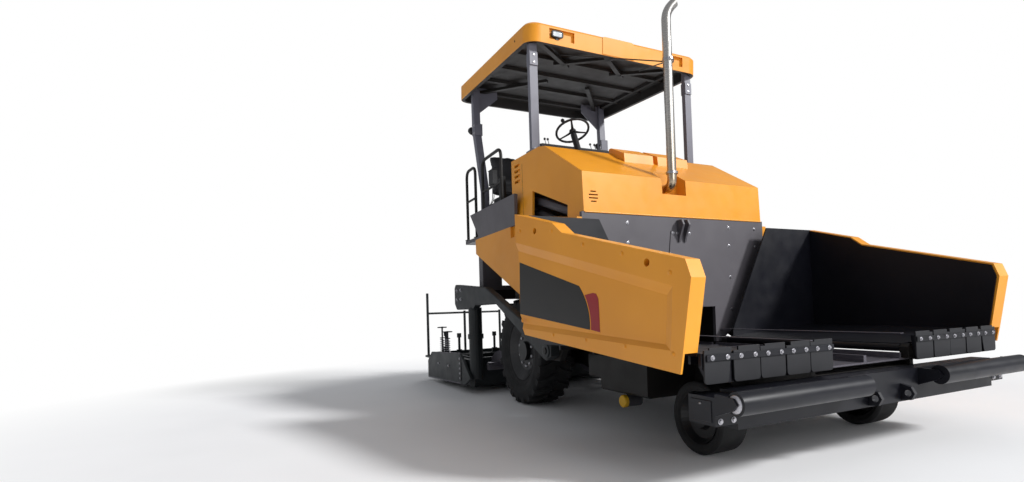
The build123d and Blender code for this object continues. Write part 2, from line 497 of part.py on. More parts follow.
# ---- side panels, platform and its fittings -----------------------------------------------
panel_outline = [
    (BOX_REAR, 1776), (BOX_REAR, PLATFORM_Z), (HOOD_REAR - GAP, PLATFORM_Z), (HOOD_REAR - GAP, HOOD_SIDE_Z),
    (HOOD_FRONT, HOOD_SIDE_Z), (HOOD_FRONT, 1000), (1330, 1000), (1330, 1210), (970, 1210), (970, 900),
    (760, 900), (560, 1060), (107, 1230),
]
panel = side_slab(panel_outline, -PANEL_OUT, -PANEL_IN)
nodes["side_panel_right"] = panel
nodes["side_panel_left"] = left(panel)

platform = block(PLATFORM_REAR, HOOD_REAR - GAP, -PANEL_IN, PANEL_IN, PLATFORM_Z, PLATFORM_Z + PLATFORM_T)
for x0, x1 in ((-1240, -1100), (-60 - 100, -60)):
    platform += block(x0, x1, -PANEL_IN, PANEL_IN, DECK_Z, PLATFORM_Z)
    platform -= block(x0, x1, -PANEL_IN + 260, PANEL_IN - 260, DECK_Z + 60, PLATFORM_Z - 60)
rear_steps = block(PLATFORM_REAR + 30, PLATFORM_REAR + 60, -320, 320, 900, PLATFORM_Z)
rear_steps -= block(PLATFORM_REAR + 30, PLATFORM_REAR + 60, -280, 280, 940, PLATFORM_Z - 60)
for z in (930, 1190, 1450, 1710):
    rear_steps += block(PLATFORM_REAR - 90, PLATFORM_REAR + 60, -320, 320, z, z + 40)
platform += rear_steps
nodes["operator_platform"] = platform

box_face = [
    (-BOX_LOW_Y, PLATFORM_Z), (-BOX_HIGH_Y, BOX_TOP_Z), (-PANEL_IN + 40, BOX_TOP_Z),
    (-PANEL_IN + 40, PLATFORM_Z + PLATFORM_T), (-PANEL_IN, PLATFORM_Z + PLATFORM_T), (-PANEL_IN, PLATFORM_Z),
]
side_box = end_slab(box_face, BOX_REAR, HOOD_REAR - GAP)
side_box &= side_slab([(BOX_REAR + 140, PLATFORM_Z), (BOX_REAR, BOX_TOP_Z), (HOOD_REAR - GAP, BOX_TOP_Z),
                       (HOOD_REAR - GAP, PLATFORM_Z)], -1300, -1000)
wing_face = [(-BOX_LOW_Y, PLATFORM_Z), (-BOX_HIGH_Y, BOX_TOP_Z), (-BOX_HIGH_Y + 40, BOX_TOP_Z),
             (-BOX_LOW_Y + 28, PLATFORM_Z)]
side_wing = end_slab(wing_face, HOOD_REAR - GAP, BOX_FRONT)
side_wing &= side_slab([(HOOD_REAR - GAP, PLATFORM_Z), (HOOD_REAR - GAP, BOX_TOP_Z), (BOX_FRONT, BOX_TOP_Z),
                        (BOX_FRONT - 160, PLATFORM_Z)], -1300, -1000)
side_box += side_wing
nodes["side_box_right"] = side_box
nodes["side_box_left"] = left(side_box)

floor_top = PLATFORM_Z + PLATFORM_T
console = side_slab([(-140, floor_top), (-140, 2700), (-260, 2890), (-260, 2930), (-60, 2960), (HOOD_REAR - GAP, 2900),
                     (HOOD_REAR - GAP, floor_top)], -720, 260)
console = chamfer(console.edges().filter_by(Axis.Y).group_by(Axis.Z)[-1], 12)
lean = radians(COLUMN_TILT)
hub = Vector(WHEEL_X, WHEEL_Y, WHEEL_Z)
column_dir = Vector(-sin(lean), 0, cos(lean))
foot = hub - column_dir * 300
console += bar(tuple(foot), tuple(hub - column_dir * 30), 38, 12)
console += rod(tuple(hub - column_dir * 30), tuple(hub + column_dir * 12), 12)
nodes["console"] = console

wheel_frame = Plane(origin=tuple(hub), x_dir=(0, 1, 0), z_dir=tuple(column_dir))
grip = [(WHEEL_R + 14 * cos(tau * k / 6), 31 + 14 * sin(tau * k / 6)) for k in range(6)]
steering = Rot(90, 0, 0) * ring(grip, 24) + Pos(0, 0, 10) * extrude(RegularPolygon(46, 16), 20)
for k in range(3):
    spoke = Pos(WHEEL_R / 2 + 10, 0, 24) * Box(WHEEL_R - 40, 26, 8)
    steering += Rot(0, 0, 120 * k + 90) * spoke
steering += Rot(0, 0, 150) * Pos(WHEEL_R, 0, 38) * extrude(RegularPolygon(19, BAR_SIDES), 56)
steering -= Cylinder(12 + FIT, 80)
nodes["steering_wheel"] = wheel_frame.location * steering

seat_base = block(-1010, -610, -980, -580, floor_top, floor_top + 60) + block(-930, -690, -900, -660, floor_top, 2330)
seat_base += block(-1050, -570, -1000, -560, 2330, 2370)
seat_base += block(-640, -480, -1030, -1000, 2330, 2640) + block(-1000, -640, -1030, -1000, 2330, 2380)
nodes["seat_bases"] = pair(seat_base)
cushion = block(-1030, -570, -995, -565, 2370 + SEAT, 2480)
cushion = chamfer(cushion.edges(), 24)
seat_back = side_slab([(-1050, 2480 + SEAT), (-1130, 3060), (-1040, 3070), (-945, 2480 + SEAT)], -990, -570)
seat_back = chamfer(seat_back.edges(), 22)
seat_frame = side_slab([(-1030, 2332), (-1048, 2332), (-1135, 2950), (-1117, 2950)], -820, -740)
nodes["seat_cushions"] = pair(Compound([*cushion.solids(), *seat_back.solids()]))
nodes["seat_bases"] = pair(seat_base + seat_frame)

# ---- canopy -------------------------------------------------------------------------------
roof_slope = atan2(ROOF_RISE, ROOF_FRONT - ROOF_REAR)
roof_frame = Pos(ROOF_FRONT, 0, ROOF_Z) * Rot(0, degrees(roof_slope), 0)
roof_long = (ROOF_FRONT - ROOF_REAR) / cos(roof_slope)


def roof_plate(inset, z0, z1, corner):
    """A round-cornered plate in the roof's own tilted frame."""
    outline = RectangleRounded(roof_long - 2 * inset, 2 * (ROOF_Y - inset), corner)
    return roof_frame * Pos(-roof_long / 2, 0, z0) * extrude(outline, z1 - z0)


roof = roof_plate(0, 0, ROOF_H, 150)
roof = chamfer(roof.faces().sort_by(Axis.Z)[-1].edges(), 28)
roof -= roof_plate(ROOF_WALL, -1, ROOF_H - ROOF_SKIN, 60)
roof += roof_frame * Pos(-roof_long / 2, 0, ROOF_H) * extrude(Rectangle(roof_long - 500, 1300), 26, taper=30)
for y in (-LAMP_Y, LAMP_Y):
    roof -= roof_frame * Pos(0, y, 108) * Box(60, 300, 110)
nodes["canopy_roof"] = roof
ceiling = roof_plate(0, ROOF_H - ROOF_SKIN, ROOF_H + 400, 10)
ribs = None
for k in range(5):
    rib_place = Pos(-180 - k * (roof_long - 360) / 4, 0, ROOF_H - ROOF_SKIN - 20)
    rib = roof_frame * rib_place * Box(60, 2 * (ROOF_Y - ROOF_WALL) - 2, 40)
    ribs = rib if ribs is None else ribs + rib
for y in (-POST_REAR_Y, POST_REAR_Y):
    ribs += roof_frame * Pos(-roof_long / 2, y, ROOF_H - ROOF_SKIN - 20) * Box(roof_long - 360, 50, 40)

front_post = block(POST_FRONT_X - POST_D / 2, POST_FRONT_X + POST_D / 2, -POST_FRONT_Y - POST_W / 2,
                   -POST_FRONT_Y + POST_W / 2, HOOD_TOP_Z, ROOF_Z + 400)
front_post += block(POST_FRONT_X - 90, POST_FRONT_X + 90, -POST_FRONT_Y - 60, -POST_FRONT_Y + 60,
                    HOOD_TOP_Z - 200, HOOD_TOP_Z + 14)
front_post -= hood
front_post = front_post.solids().sort_by(SortBy.VOLUME)[-1]
rear_line = [(POST_REAR_X - 40, ROOF_Z + 400), (POST_REAR_X + 40, ROOF_Z + 400), (POST_REAR_X + 70, 3500),
             (POST_REAR_X + 330, 2620), (POST_REAR_X + 330, floor_top), (POST_REAR_X + 250, floor_top),
             (POST_REAR_X + 250, 2600), (POST_REAR_X - 20, 3480)]
rear_post = side_slab(rear_line, -POST_REAR_Y - POST_W / 2, -POST_REAR_Y + POST_W / 2)
rear_post += block(POST_REAR_X + 180, POST_REAR_X + 400, -POST_REAR_Y - 75, -POST_REAR_Y + 75, floor_top,
                   floor_top + 14)
post_side = -POST_REAR_Y + POST_W / 2
rear_post += end_slab([(post_side, ROOF_Z + 400), (post_side + 280, ROOF_Z + 400), (post_side + 280, ROOF_Z + 150),
                       (post_side, ROOF_Z - 90)], POST_REAR_X - 6, POST_REAR_X + 6)
posts_front = (front_post + left(front_post)) - ceiling
posts_rear = (rear_post + left(rear_post)) - ceiling
ribs -= posts_front
ribs -= posts_rear
nodes["canopy_ribs"] = ribs - ceiling
nodes["canopy_posts"] = Compound([*posts_front.solids(), *posts_rear.solids()])

lamps = []
for y in (-LAMP_Y, LAMP_Y):
    body = roof_frame * Pos(-7, y - 60, 108) * Box(46, 140, 72)
    lamps += [*(body + roof_frame * Pos(-7, y - 60, 61) * Box(24, 40, 24) - roof).solids()]
nodes["roof_lamps"] = Compound(lamps)

rail_y = PANEL_OUT - 70
hand_path = [(-420, -rail_y, BOX_TOP_Z), (-420, -rail_y, 2960), (-1060, -rail_y, 2960), (-1060, -rail_y, BOX_TOP_Z)]
hand_rail = pipe(hand_path, 19, 60)
hand_rail += bar((-420, -rail_y, 2560), (-1060, -rail_y, 2560), 15)
rear_rail = pipe([(-1345, -rail_y, floor_top), (-1345, -rail_y, 2960), (-1700, -rail_y, 2960),
                  (-1700, -rail_y, floor_top)], 19, 60)
rear_rail += bar((-1345, -rail_y, 2560), (-1700, -rail_y, 2560), 15)
nodes["handrails"] = pair(Compound([*hand_rail.solids(), *rear_rail.solids()]))

# ---- screed, tow arms and augers ----------------------------------------------------------
arm_outline = [
    (1190, 610), (1190, 700), (1010, 765), (-490, 1310), (-1640, 1400), (-1700, 1340), (-1700, 1150),
    (-1600, 1060), (-940, 1060), (-860, 1105), (-170, 1109), (980, 590), (1090, 565),
]
tow_arm = side_slab(arm_outline, -ARM_OUT, -ARM_IN)
tow_arm -= rod((TOW_X, -ARM_OUT - 30, TOW_Z), (TOW_X, -ARM_IN + 30, TOW_Z), TOW_PIN_R + FIT)
tow_arm = chamfer(tow_arm.faces().sort_by(Axis.Y)[0].edges().filter_by(lambda e: e.length > 150), 10)
tow_arm += bar((COLUMN_X, -COLUMN_Y, 190), (COLUMN_X, -COLUMN_Y, 1080), COLUMN_R, 16)
tow_arm += block(-1560, COLUMN_X, -ARM_OUT, -SCREED_Y, 190, 420)
nodes["tow_arm_right"] = tow_arm
nodes["tow_arm_left"] = left(tow_arm)

screed_side = [(SCREED_FRONT, SCREED_Z + 40), (SCREED_FRONT + 30, SCREED_Z + 150), (SCREED_FRONT + 30, SCREED_TOP),
               (SCREED_REAR, SCREED_TOP), (SCREED_REAR, SCREED_Z), (SCREED_FRONT - 40, SCREED_Z)]
screed = side_slab(screed_side, -SCREED_Y, SCREED_Y)
for y0, y1 in ((-SCREED_Y + 30, -30), (30, SCREED_Y - 30)):
    screed -= block(SCREED_REAR + 60, SCREED_FRONT - 30, y0, y1, SCREED_Z + 60, SCREED_TOP + 1)
guide = rod((GUIDE_X, -SCREED_Y + 5, GUIDE_Z), (GUIDE_X, -35, GUIDE_Z), GUIDE_R)
for y in (-SCREED_Y + 5, -55):
    guide += block(GUIDE_X - 38, SCREED_REAR, y, y + 20, GUIDE_Z - 40, GUIDE_Z + 40)
screed += guide + left(guide)
nodes["screed_main"] = screed

ext_front = GUIDE_X - 45
extension = block(EXT_REAR, ext_front, -EXT_OUT, -60, SCREED_Z, SCREED_TOP)
extension -= block(EXT_REAR + 40, ext_front - 40, -EXT_OUT + 40, -100, SCREED_Z + 60, SCREED_TOP + 1)
extension = chamfer(extension.edges().filter_by(Axis.Y).group_by(Axis.Z)[0], 20)
for y in (-GUIDE_SLEEVE, -160):
    sleeve = block(ext_front, GUIDE_X + 40, y, y + 100, GUIDE_Z - 45, GUIDE_Z + 45)
    extension += sleeve - rod((GUIDE_X, y, GUIDE_Z), (GUIDE_X, y + 100, GUIDE_Z), GUIDE_R + FIT)
for x in (EXT_REAR + 20, ext_front - 20):
    for y in (-1150, -620, -200):
        extension += block(x - 20, x + 20, y - 35, y + 35, SCREED_TOP, SCREED_TOP + 60)
        extension += bar((x, y, SCREED_TOP + 60), (x, y, SCREED_TOP + 230), 18)
        extension += bar((x, y, SCREED_TOP + 230), (x, y, SCREED_TOP + 290), 32)
gate = side_slab([(-2960, 42), (-1150, 110), (-922, 211), (-1321, 498), (-2734, 440), (-2960, 300)],
                 -EXT_OUT - GATE_T, -EXT_OUT)
walkway = block(WALK_REAR, EXT_REAR, -EXT_OUT, -60, 330, 360)
for k in range(9):
    walkway -= block(WALK_REAR + 60, EXT_REAR - 60, -EXT_OUT + 60 + 138 * k, -EXT_OUT + 120 + 138 * k, 330, 360)
walkway += block(EXT_REAR - 30, EXT_REAR, -EXT_OUT, -60, 230, 330)
post_x = WALK_REAR + 90
for y in (-EXT_OUT + 30, -700, -90):
    walkway += bar((post_x, y, 345), (post_x, y, 1340 if y < -1000 else 1050), 20)
walkway += bar((post_x, -EXT_OUT + 30, 1020), (post_x, -90, 1020), 16)
for side, turn in (("right", lambda s: s), ("left", left)):
    nodes[f"screed_extension_{side}"] = turn(extension + gate)
    nodes[f"screed_walkway_{side}"] = turn(walkway)

gearbox = bar((AUGER_X, -45, AUGER_Z), (AUGER_X, 45, AUGER_Z), 105, 16)
gearbox += rod((AUGER_X, -AUGER_IN - 130, AUGER_Z), (AUGER_X, AUGER_IN + 130, AUGER_Z), AUGER_PIN_R)
gearbox += block(AUGER_X - 35, AUGER_X + 35, -45, 45, AUGER_Z + 60, 790)
gearbox += block(-1150, AUGER_X + 35, -45, 45, 745, 855)
nodes["auger_gearbox"] = gearbox

auger = bar((AUGER_X, -AUGER_OUT, AUGER_Z), (AUGER_X, -AUGER_IN, AUGER_Z), AUGER_TUBE_R, 12)
half_ring = RegularPolygon(AUGER_R, 12) - RegularPolygon(AUGER_TUBE_R - 8, 12)
half_ring = Plane.XZ * (half_ring - Pos(0, -AUGER_R) * Rectangle(3 * AUGER_R, 2 * AUGER_R))
flight_tilt = degrees(atan2(AUGER_PITCH / 2, 2 * AUGER_R))
flight_count = int((AUGER_OUT - AUGER_IN - 80) / (AUGER_PITCH / 2))
for k in range(flight_count):
    flight = Pos(0, 6, 0) * extrude(half_ring, 12)
    flight = Rot(0, 180 * (k % 2), 0) * (Rot(0, 0, flight_tilt) * flight)
    auger += Pos(AUGER_X, -AUGER_IN - 100 - k * AUGER_PITCH / 2, AUGER_Z) * flight
auger -= rod((AUGER_X, -AUGER_IN - 135, AUGER_Z), (AUGER_X, 0, AUGER_Z), AUGER_PIN_R + FIT)
nodes["auger_right"] = auger
nodes["auger_left"] = left(auger)

# ---- writing ------------------------------------------------------------------------------
os.makedirs("parts", exist_ok=True)
for name, shape in nodes.items():
    export_step(Pos(-ORIGIN_X, 0, 0) * shape, f"parts/{name}.step")
print(len(nodes), "nodes, origin moved", ORIGIN_X)
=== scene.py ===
import json
from math import cos, pi, radians, sin

import bmesh
import bpy
import numpy as np
from mathutils import Matrix, Vector


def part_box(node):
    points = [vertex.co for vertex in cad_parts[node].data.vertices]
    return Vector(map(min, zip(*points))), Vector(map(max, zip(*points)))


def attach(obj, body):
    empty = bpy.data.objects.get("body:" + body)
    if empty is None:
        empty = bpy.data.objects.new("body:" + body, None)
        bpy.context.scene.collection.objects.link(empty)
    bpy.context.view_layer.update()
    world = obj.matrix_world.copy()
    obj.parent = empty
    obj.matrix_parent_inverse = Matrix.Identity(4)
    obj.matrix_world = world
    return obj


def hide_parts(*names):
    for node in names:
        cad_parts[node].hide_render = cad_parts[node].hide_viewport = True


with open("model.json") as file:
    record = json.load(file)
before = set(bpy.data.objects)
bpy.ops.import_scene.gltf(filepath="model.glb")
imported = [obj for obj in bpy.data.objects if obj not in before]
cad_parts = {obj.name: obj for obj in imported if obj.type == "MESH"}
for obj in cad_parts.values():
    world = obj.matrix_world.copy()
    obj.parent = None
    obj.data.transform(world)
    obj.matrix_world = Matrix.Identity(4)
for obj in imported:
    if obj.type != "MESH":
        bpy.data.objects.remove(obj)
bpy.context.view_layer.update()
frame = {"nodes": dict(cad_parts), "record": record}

print("frame loaded:", len(frame["nodes"]), "nodes")

# Everything is in metres in the frame's own axes: +X towards the hopper, +Y the machine's left, +Z up.
# Most places are given from the rear axle, and right-hand pieces are mirrored for the left.
axleX = sum(float(corner[0]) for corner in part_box("rear_tyre_right")) / 2
sunk = 0.0005   # how far most bolts are set into the face under them


def at(x, y, z):   # a place given from the rear axle, moved to the frame's origin
    return np.array([x + axleX, y, z])


def face(node, axis, end):   # where a node's box begins (0) or ends (1) along an axis, from the rear axle
    value = float(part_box(node)[end]["xyz".index(axis)])
    return value - axleX if axis == "x" else value


def middle(node):   # the middle of a node's box
    low, high = (np.array(corner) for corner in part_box(node))
    return (low + high) / 2


def unit(vector):
    vector = np.asarray(vector, float)
    return vector / np.linalg.norm(vector, axis=-1, keepdims=True)


# A part is a closed surface: its points (n by 3), its faces' corner numbers in one row, and the faces' sizes.

def grid(points, roundU=False, roundV=False, caps=False):
    # quads between neighbouring rows and columns; a round direction joins its end to its start,
    # and caps closes the first and last rows with one face each
    rows, cols = points.shape[:2]
    i, j = np.meshgrid(np.arange(rows if roundU else rows - 1), np.arange(cols if roundV else cols - 1),
                       indexing="ij")
    i2, j2 = (i + 1) % rows, (j + 1) % cols
    corners = np.stack([i * cols + j, i2 * cols + j, i2 * cols + j2, i * cols + j2], -1).ravel()
    sizes = np.full(i.size, 4)
    if caps:
        corners = np.concatenate([corners, np.arange(cols)[::-1], np.arange((rows - 1) * cols, rows * cols)])
        sizes = np.concatenate([sizes, [cols, cols]])
    return points.reshape(-1, 3), corners, sizes


def ringOf(u, v, sides, start=0.0):
    # a unit circle, cos a * u + sin a * v, from the angle start on
    a = np.linspace(0, 2 * pi, sides, endpoint=False) + start
    u, v = np.asarray(u, float)[..., None, :], np.asarray(v, float)[..., None, :]
    return np.cos(a)[:, None] * u + np.sin(a)[:, None] * v


def tube(path, radius, sides=16, across=(0, 1, 0)):
    # a circle carried along the path: path + radius * (cos a * across + sin a * along x across)
    path = np.asarray(path, float)
    along = unit(np.gradient(path, axis=0))
    across = np.asarray(across, float)
    u = unit(across - (along @ across)[:, None] * along)
    r = np.broadcast_to(np.asarray(radius, float), len(path))[:, None, None]
    return grid(path[:, None] + r * ringOf(u, np.cross(along, u), sides), roundV=True, caps=True)


def rounded(points, cut, steps=7):
    # straight runs whose inner corners become curves: a blend of (1-t)^2, 2t(1-t) and t^2 between the two
    # points at cut from the corner and the corner itself
    p = np.asarray(points, float)
    start = p[1:-1] + unit(p[:-2] - p[1:-1]) * cut
    end = p[1:-1] + unit(p[2:] - p[1:-1]) * cut
    t = np.linspace(0, 1, steps)[None, :, None]
    arcs = (1 - t) ** 2 * start[:, None] + 2 * t * (1 - t) * p[1:-1][:, None] + t ** 2 * end[:, None]
    return np.vstack([p[:1], arcs.reshape(-1, 3), p[-1:]])


def bentTube(points, cut, steps, radius, sides):
    # a tube along points given from the rear axle, its corners rounded
    return tube(rounded([at(*p) for p in points], cut, steps), radius, sides)


def turned(profile, centre, axis, sides=32, closed=False):
    # each (radius, distance) goes round the axis: centre + distance * axis + radius * (cos a * u + sin a * v)
    profile = np.asarray(profile, float)
    axis = unit(axis)
    u = unit(np.cross(axis, [0, 0, 1.0]) if abs(axis[2]) < 0.9 else np.cross(axis, [0, 1.0, 0]))
    ring = ringOf(u, np.cross(axis, u), sides, pi / sides)
    points = np.asarray(centre) + profile[:, 1, None, None] * axis + profile[:, 0, None, None] * ring
    return grid(points, roundU=closed, roundV=True, caps=not closed)


def anticlockwise(outline):
    # the outline, reversed if twice its area, the sum of x * next z - z * next x, is negative
    outline = np.asarray(outline, float)
    x, z = outline.T
    return outline[::-1] if (x * np.roll(z, -1) - z * np.roll(x, -1)).sum() < 0 else outline


def inset(outline, distance):
    # every side of an anticlockwise outline moves inwards by distance
    before = unit(outline - np.roll(outline, 1, 0))
    after = unit(np.roll(outline, -1, 0) - outline)
    n1, n2 = np.stack([-before[:, 1], before[:, 0]], 1), np.stack([-after[:, 1], after[:, 0]], 1)
    return outline + distance * (n1 + n2) / (1 + (n1 * n2).sum(1, keepdims=True))


def plate(outline, origin, u, v, thick, edge=0.0):
    # an outline in the plane of u and v, carried along u x v, with its rims drawn in by edge
    outline = anticlockwise(outline)
    u, v = unit(u), unit(v)
    normal = np.cross(u, v)
    layers = [(edge, 0), (0, edge), (0, thick - edge), (edge, thick)] if edge else [(0, 0), (0, thick)]
    rows = [inset(outline, e) @ np.stack([u, v]) + h * normal for e, h in layers]
    return grid(np.asarray(origin, float) + np.stack(rows), roundV=True, caps=True)


def brick(x0, x1, y0, y1, z0, z1, edge=0.002):
    # a block between two corners given from the rear axle, with small bevels
    outline = [(x0, y0), (x1, y0), (x1, y1), (x0, y1)]
    return plate(outline, at(0, 0, z0), (1, 0, 0), (0, 1, 0), z1 - z0, edge)


def sidePlate(outline, y0, y1, edge=0.002):
    # a side view outline (x, z) from the rear axle, as thick as from y0 to y1
    return plate(outline, at(0, y1, 0), (1, 0, 0), (0, 0, 1), y1 - y0, edge)


def endPlate(outline, x0, x1, edge=0.002):
    # an end view outline (y, z), from x0 forward to x1
    return plate(outline, at(x0, 0, 0), (0, 1, 0), (0, 0, 1), x1 - x0, edge)


def copies(part, moved):   # the part's faces on each of several sets of moved points
    shift = np.arange(len(moved))[:, None] * len(part[0])
    return moved.reshape(-1, 3), (part[1][None] + shift).ravel(), np.tile(part[2], len(moved))


def spread(part, places):   # one copy of the part moved to each place
    return copies(part, np.atleast_2d(places)[:, None] + part[0][None])


def around(part, centre, angles):
    # one copy for each angle a, turned about Y through centre: x' = x cos a + z sin a, z' = z cos a - x sin a
    centre, angles = np.asarray(centre, float), np.asarray(angles, float)
    c, s = np.cos(angles)[:, None], np.sin(angles)[:, None]
    x, y, z = (part[0] - centre).T
    turnedTo = np.stack([c * x + s * z, np.broadcast_to(y, (len(angles), len(y))), c * z - s * x], -1)
    return copies(part, turnedTo + centre)


def evenly(count):   # count angles, equally spaced round a circle
    return np.arange(count) * 2 * pi / count


def twin(part):   # the left-hand copy of a right-hand part
    return part[0] * np.array([1.0, -1.0, 1.0]), part[1], part[2]


def withTwins(*parts):   # right-hand parts and their left-hand copies
    return [*parts, *[twin(p) for p in parts]]


def join(parts):
    # several parts as one
    counts = np.cumsum([0] + [len(p[0]) for p in parts[:-1]])
    return (np.concatenate([p[0] for p in parts]), np.concatenate([p[1] + c for p, c in zip(parts, counts)]),
            np.concatenate([p[2] for p in parts]))


def hexHead(across, height, normal, place=(0, 0, 0)):
    # six-sided head with a chamfered top over a round washer; radii and heights are shares of its own
    r = across / 2 / cos(pi / 6)
    head = turned([(r, 0.0), (r, height * 0.8), (r * 0.82, height)], place, normal, 6)
    rim = [(r * 1.35, -sunk), (r * 1.35, height * 0.18), (r * 1.25, height * 0.22)]
    washer = turned(rim, place, normal, 16)
    return join([head, washer])


def bolts(size, normal, xs, ys, zs):
    # a hexagon head, its size (across flats, height), wherever the x, the y and the z from the rear axle meet
    places = [at(x, y, z) for x in np.atleast_1d(xs) for y in np.atleast_1d(ys) for z in np.atleast_1d(zs)]
    return spread(hexHead(*size, normal), places)


def piece(name, parts, material, body, slot, angle=34.0, stands=()):
    # makes the parts one object, its faces turned outwards, smooth but for edges sharper than angle
    points, corners, sizes = join(parts)
    mesh = bpy.data.meshes.new(name)
    mesh.vertices.add(len(points))
    mesh.vertices.foreach_set("co", points.astype(np.float32).ravel())
    mesh.loops.add(len(corners))
    mesh.loops.foreach_set("vertex_index", corners.astype(np.int32))
    mesh.polygons.add(len(sizes))
    mesh.polygons.foreach_set("loop_start", np.concatenate([[0], np.cumsum(sizes)[:-1]]).astype(np.int32))
    mesh.update(calc_edges=True)
    mesh.validate()
    work = bmesh.new()
    work.from_mesh(mesh)
    bmesh.ops.recalc_face_normals(work, faces=work.faces)
    work.to_mesh(mesh)
    work.free()
    mesh.polygons.foreach_set("use_smooth", np.ones(len(mesh.polygons), dtype=bool))
    mesh.set_sharp_from_angle(angle=radians(angle))
    mesh.materials.append(finish[material])
    made = bpy.data.objects.new(name, mesh)
    bpy.context.collection.objects.link(made)
    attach(made, body)
    if stands:
        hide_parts(*stands)
    return made


def pairOf(name, parts, material, body, slot, stands=(), **options):
    # a right-hand piece and its left twin, on bodies named body_right and body_left
    for side, made in (("right", parts), ("left", [twin(p) for p in parts])):
        piece(f"{name}_{side}", made, material, f"{body}_{side}", slot,
              stands=[f"{n}_{side}" for n in stands], **options)


# A colour is written as sRGB hex and turned to the linear values that shaders work in.
def hexToLinear(text):
    srgb = np.array([int(text[i:i + 2], 16) for i in (1, 3, 5)]) / 255
    linear = np.where(srgb <= 0.04045, srgb / 12.92, ((srgb + 0.055) / 1.055) ** 2.4)
    return (*[float(v) for v in linear], 1.0)


def addNode(tree, kind, values=None, links=None, **attributes):
    # adds one node, sets its attributes and input values, and links outputs into its inputs
    node = tree.nodes.new(kind)
    for key, value in attributes.items():
        setattr(node, key, value)
    for key, value in (values or {}).items():
        node.inputs[key].default_value = value
    for key, source in (links or {}).items():
        tree.links.new(source, node.inputs[key])
    return node


def newMaterial(name, values):
    # a material with one shader set to the given values, and the object's own coordinates
    material = bpy.data.materials.new(name)
    material.use_nodes = True
    tree = material.node_tree
    tree.nodes.clear()
    shader = addNode(tree, "ShaderNodeBsdfPrincipled", values)
    addNode(tree, "ShaderNodeOutputMaterial", links={"Surface": shader.outputs["BSDF"]})
    where = addNode(tree, "ShaderNodeTexCoord").outputs["Object"]
    return material, tree, shader, where


def mixColours(tree, factor, first, second):
    node = addNode(tree, "ShaderNodeMix", data_type="RGBA")
    node.inputs[6].default_value = hexToLinear(first)
    node.inputs[7].default_value = hexToLinear(second)
    tree.links.new(factor, node.inputs[0])
    return node.outputs[2]


def ramp(tree, source, low, high, outLow=0.0, outHigh=1.0):
    # spreads what lies from low to high over outLow to outHigh
    values = {"From Min": low, "From Max": high, "To Min": outLow, "To Max": outHigh}
    return addNode(tree, "ShaderNodeMapRange", values, {"Value": source}).outputs["Result"]


def noise(tree, where, sizeMm, detail=2.0, roughness=0.5):
    # fractal noise whose grain is sizeMm across
    values = {"Scale": 1000.0 / sizeMm, "Detail": detail, "Roughness": roughness}
    return addNode(tree, "ShaderNodeTexNoise", values, {"Vector": where}).outputs["Fac"]


def stretched(tree, where, scale):   # coordinates scaled so that noise on them is drawn out along an axis
    return addNode(tree, "ShaderNodeMapping", {"Scale": scale}, {"Vector": where}).outputs["Vector"]


def shadeFrom(tree, shader, factor, shades):
    tree.links.new(mixColours(tree, factor, *shades), shader.inputs["Base Color"])


def bumpFrom(tree, shader, height, distanceMm, strength=1.0):
    values = {"Strength": strength, "Distance": distanceMm / 1000}
    bump = addNode(tree, "ShaderNodeBump", values, {"Height": height})
    tree.links.new(bump.outputs["Normal"], shader.inputs["Normal"])


paint = {   # light shade, dark shade, roughness, specular level
    "amberEnamel": ("#EFA02B", "#E39526", 0.34, 0.5),       # stove enamel: even colour, soft broad highlight
    "blueBlackEnamel": ("#10111A", "#0B0C12", 0.38, 0.4),   # semi-gloss, its gloss gives the blue
    "panelGreyEnamel": ("#5A575C", "#4C494E", 0.42, 0.5),   # satin warm grey of the platform boxes
    "postGreyEnamel": ("#74747F", "#666671", 0.40, 0.5),    # satin lilac grey of posts and rails
    "frameEnamel": ("#1F1C1A", "#151311", 0.50, 0.4),       # brown black, dulled by road dust
    "liningEnamel": ("#2A2726", "#211F1E", 0.55, 0.4),      # flat dark coat under the canopy
    "screedEnamel": ("#272C2E", "#1D2123", 0.48, 0.4),      # green grey of the screed and its arms
    "rimEnamel": ("#17171A", "#101012", 0.38, 0.5),         # plain black on the wheels' discs
}
paintGrain = {   # sizes in mm, and the roughness that dust takes from or adds to the paint's own
    "drift": 900.0, "dust": 160.0, "cleaner": -0.04, "duller": 0.07, "peel": 3.0, "peelDeep": 0.05,
    "peelStrength": 0.35,
}


def makePaint(name):
    # sprayed enamel: a slow drift of shade, dust dulling it in patches, and orange peel about 3 mm across
    light, dark, rough, level = paint[name]
    f = paintGrain
    material, tree, shader, where = newMaterial(name, {"Roughness": rough, "Specular IOR Level": level})
    shadeFrom(tree, shader, ramp(tree, noise(tree, where, f["drift"], 3.0), 0.35, 0.65), (light, dark))
    dust = ramp(tree, noise(tree, where, f["dust"], 4.0), 0.3, 0.7, rough + f["cleaner"], rough + f["duller"])
    tree.links.new(dust, shader.inputs["Roughness"])
    bumpFrom(tree, shader, noise(tree, where, f["peel"], 1.0), f["peelDeep"], f["peelStrength"])
    return material


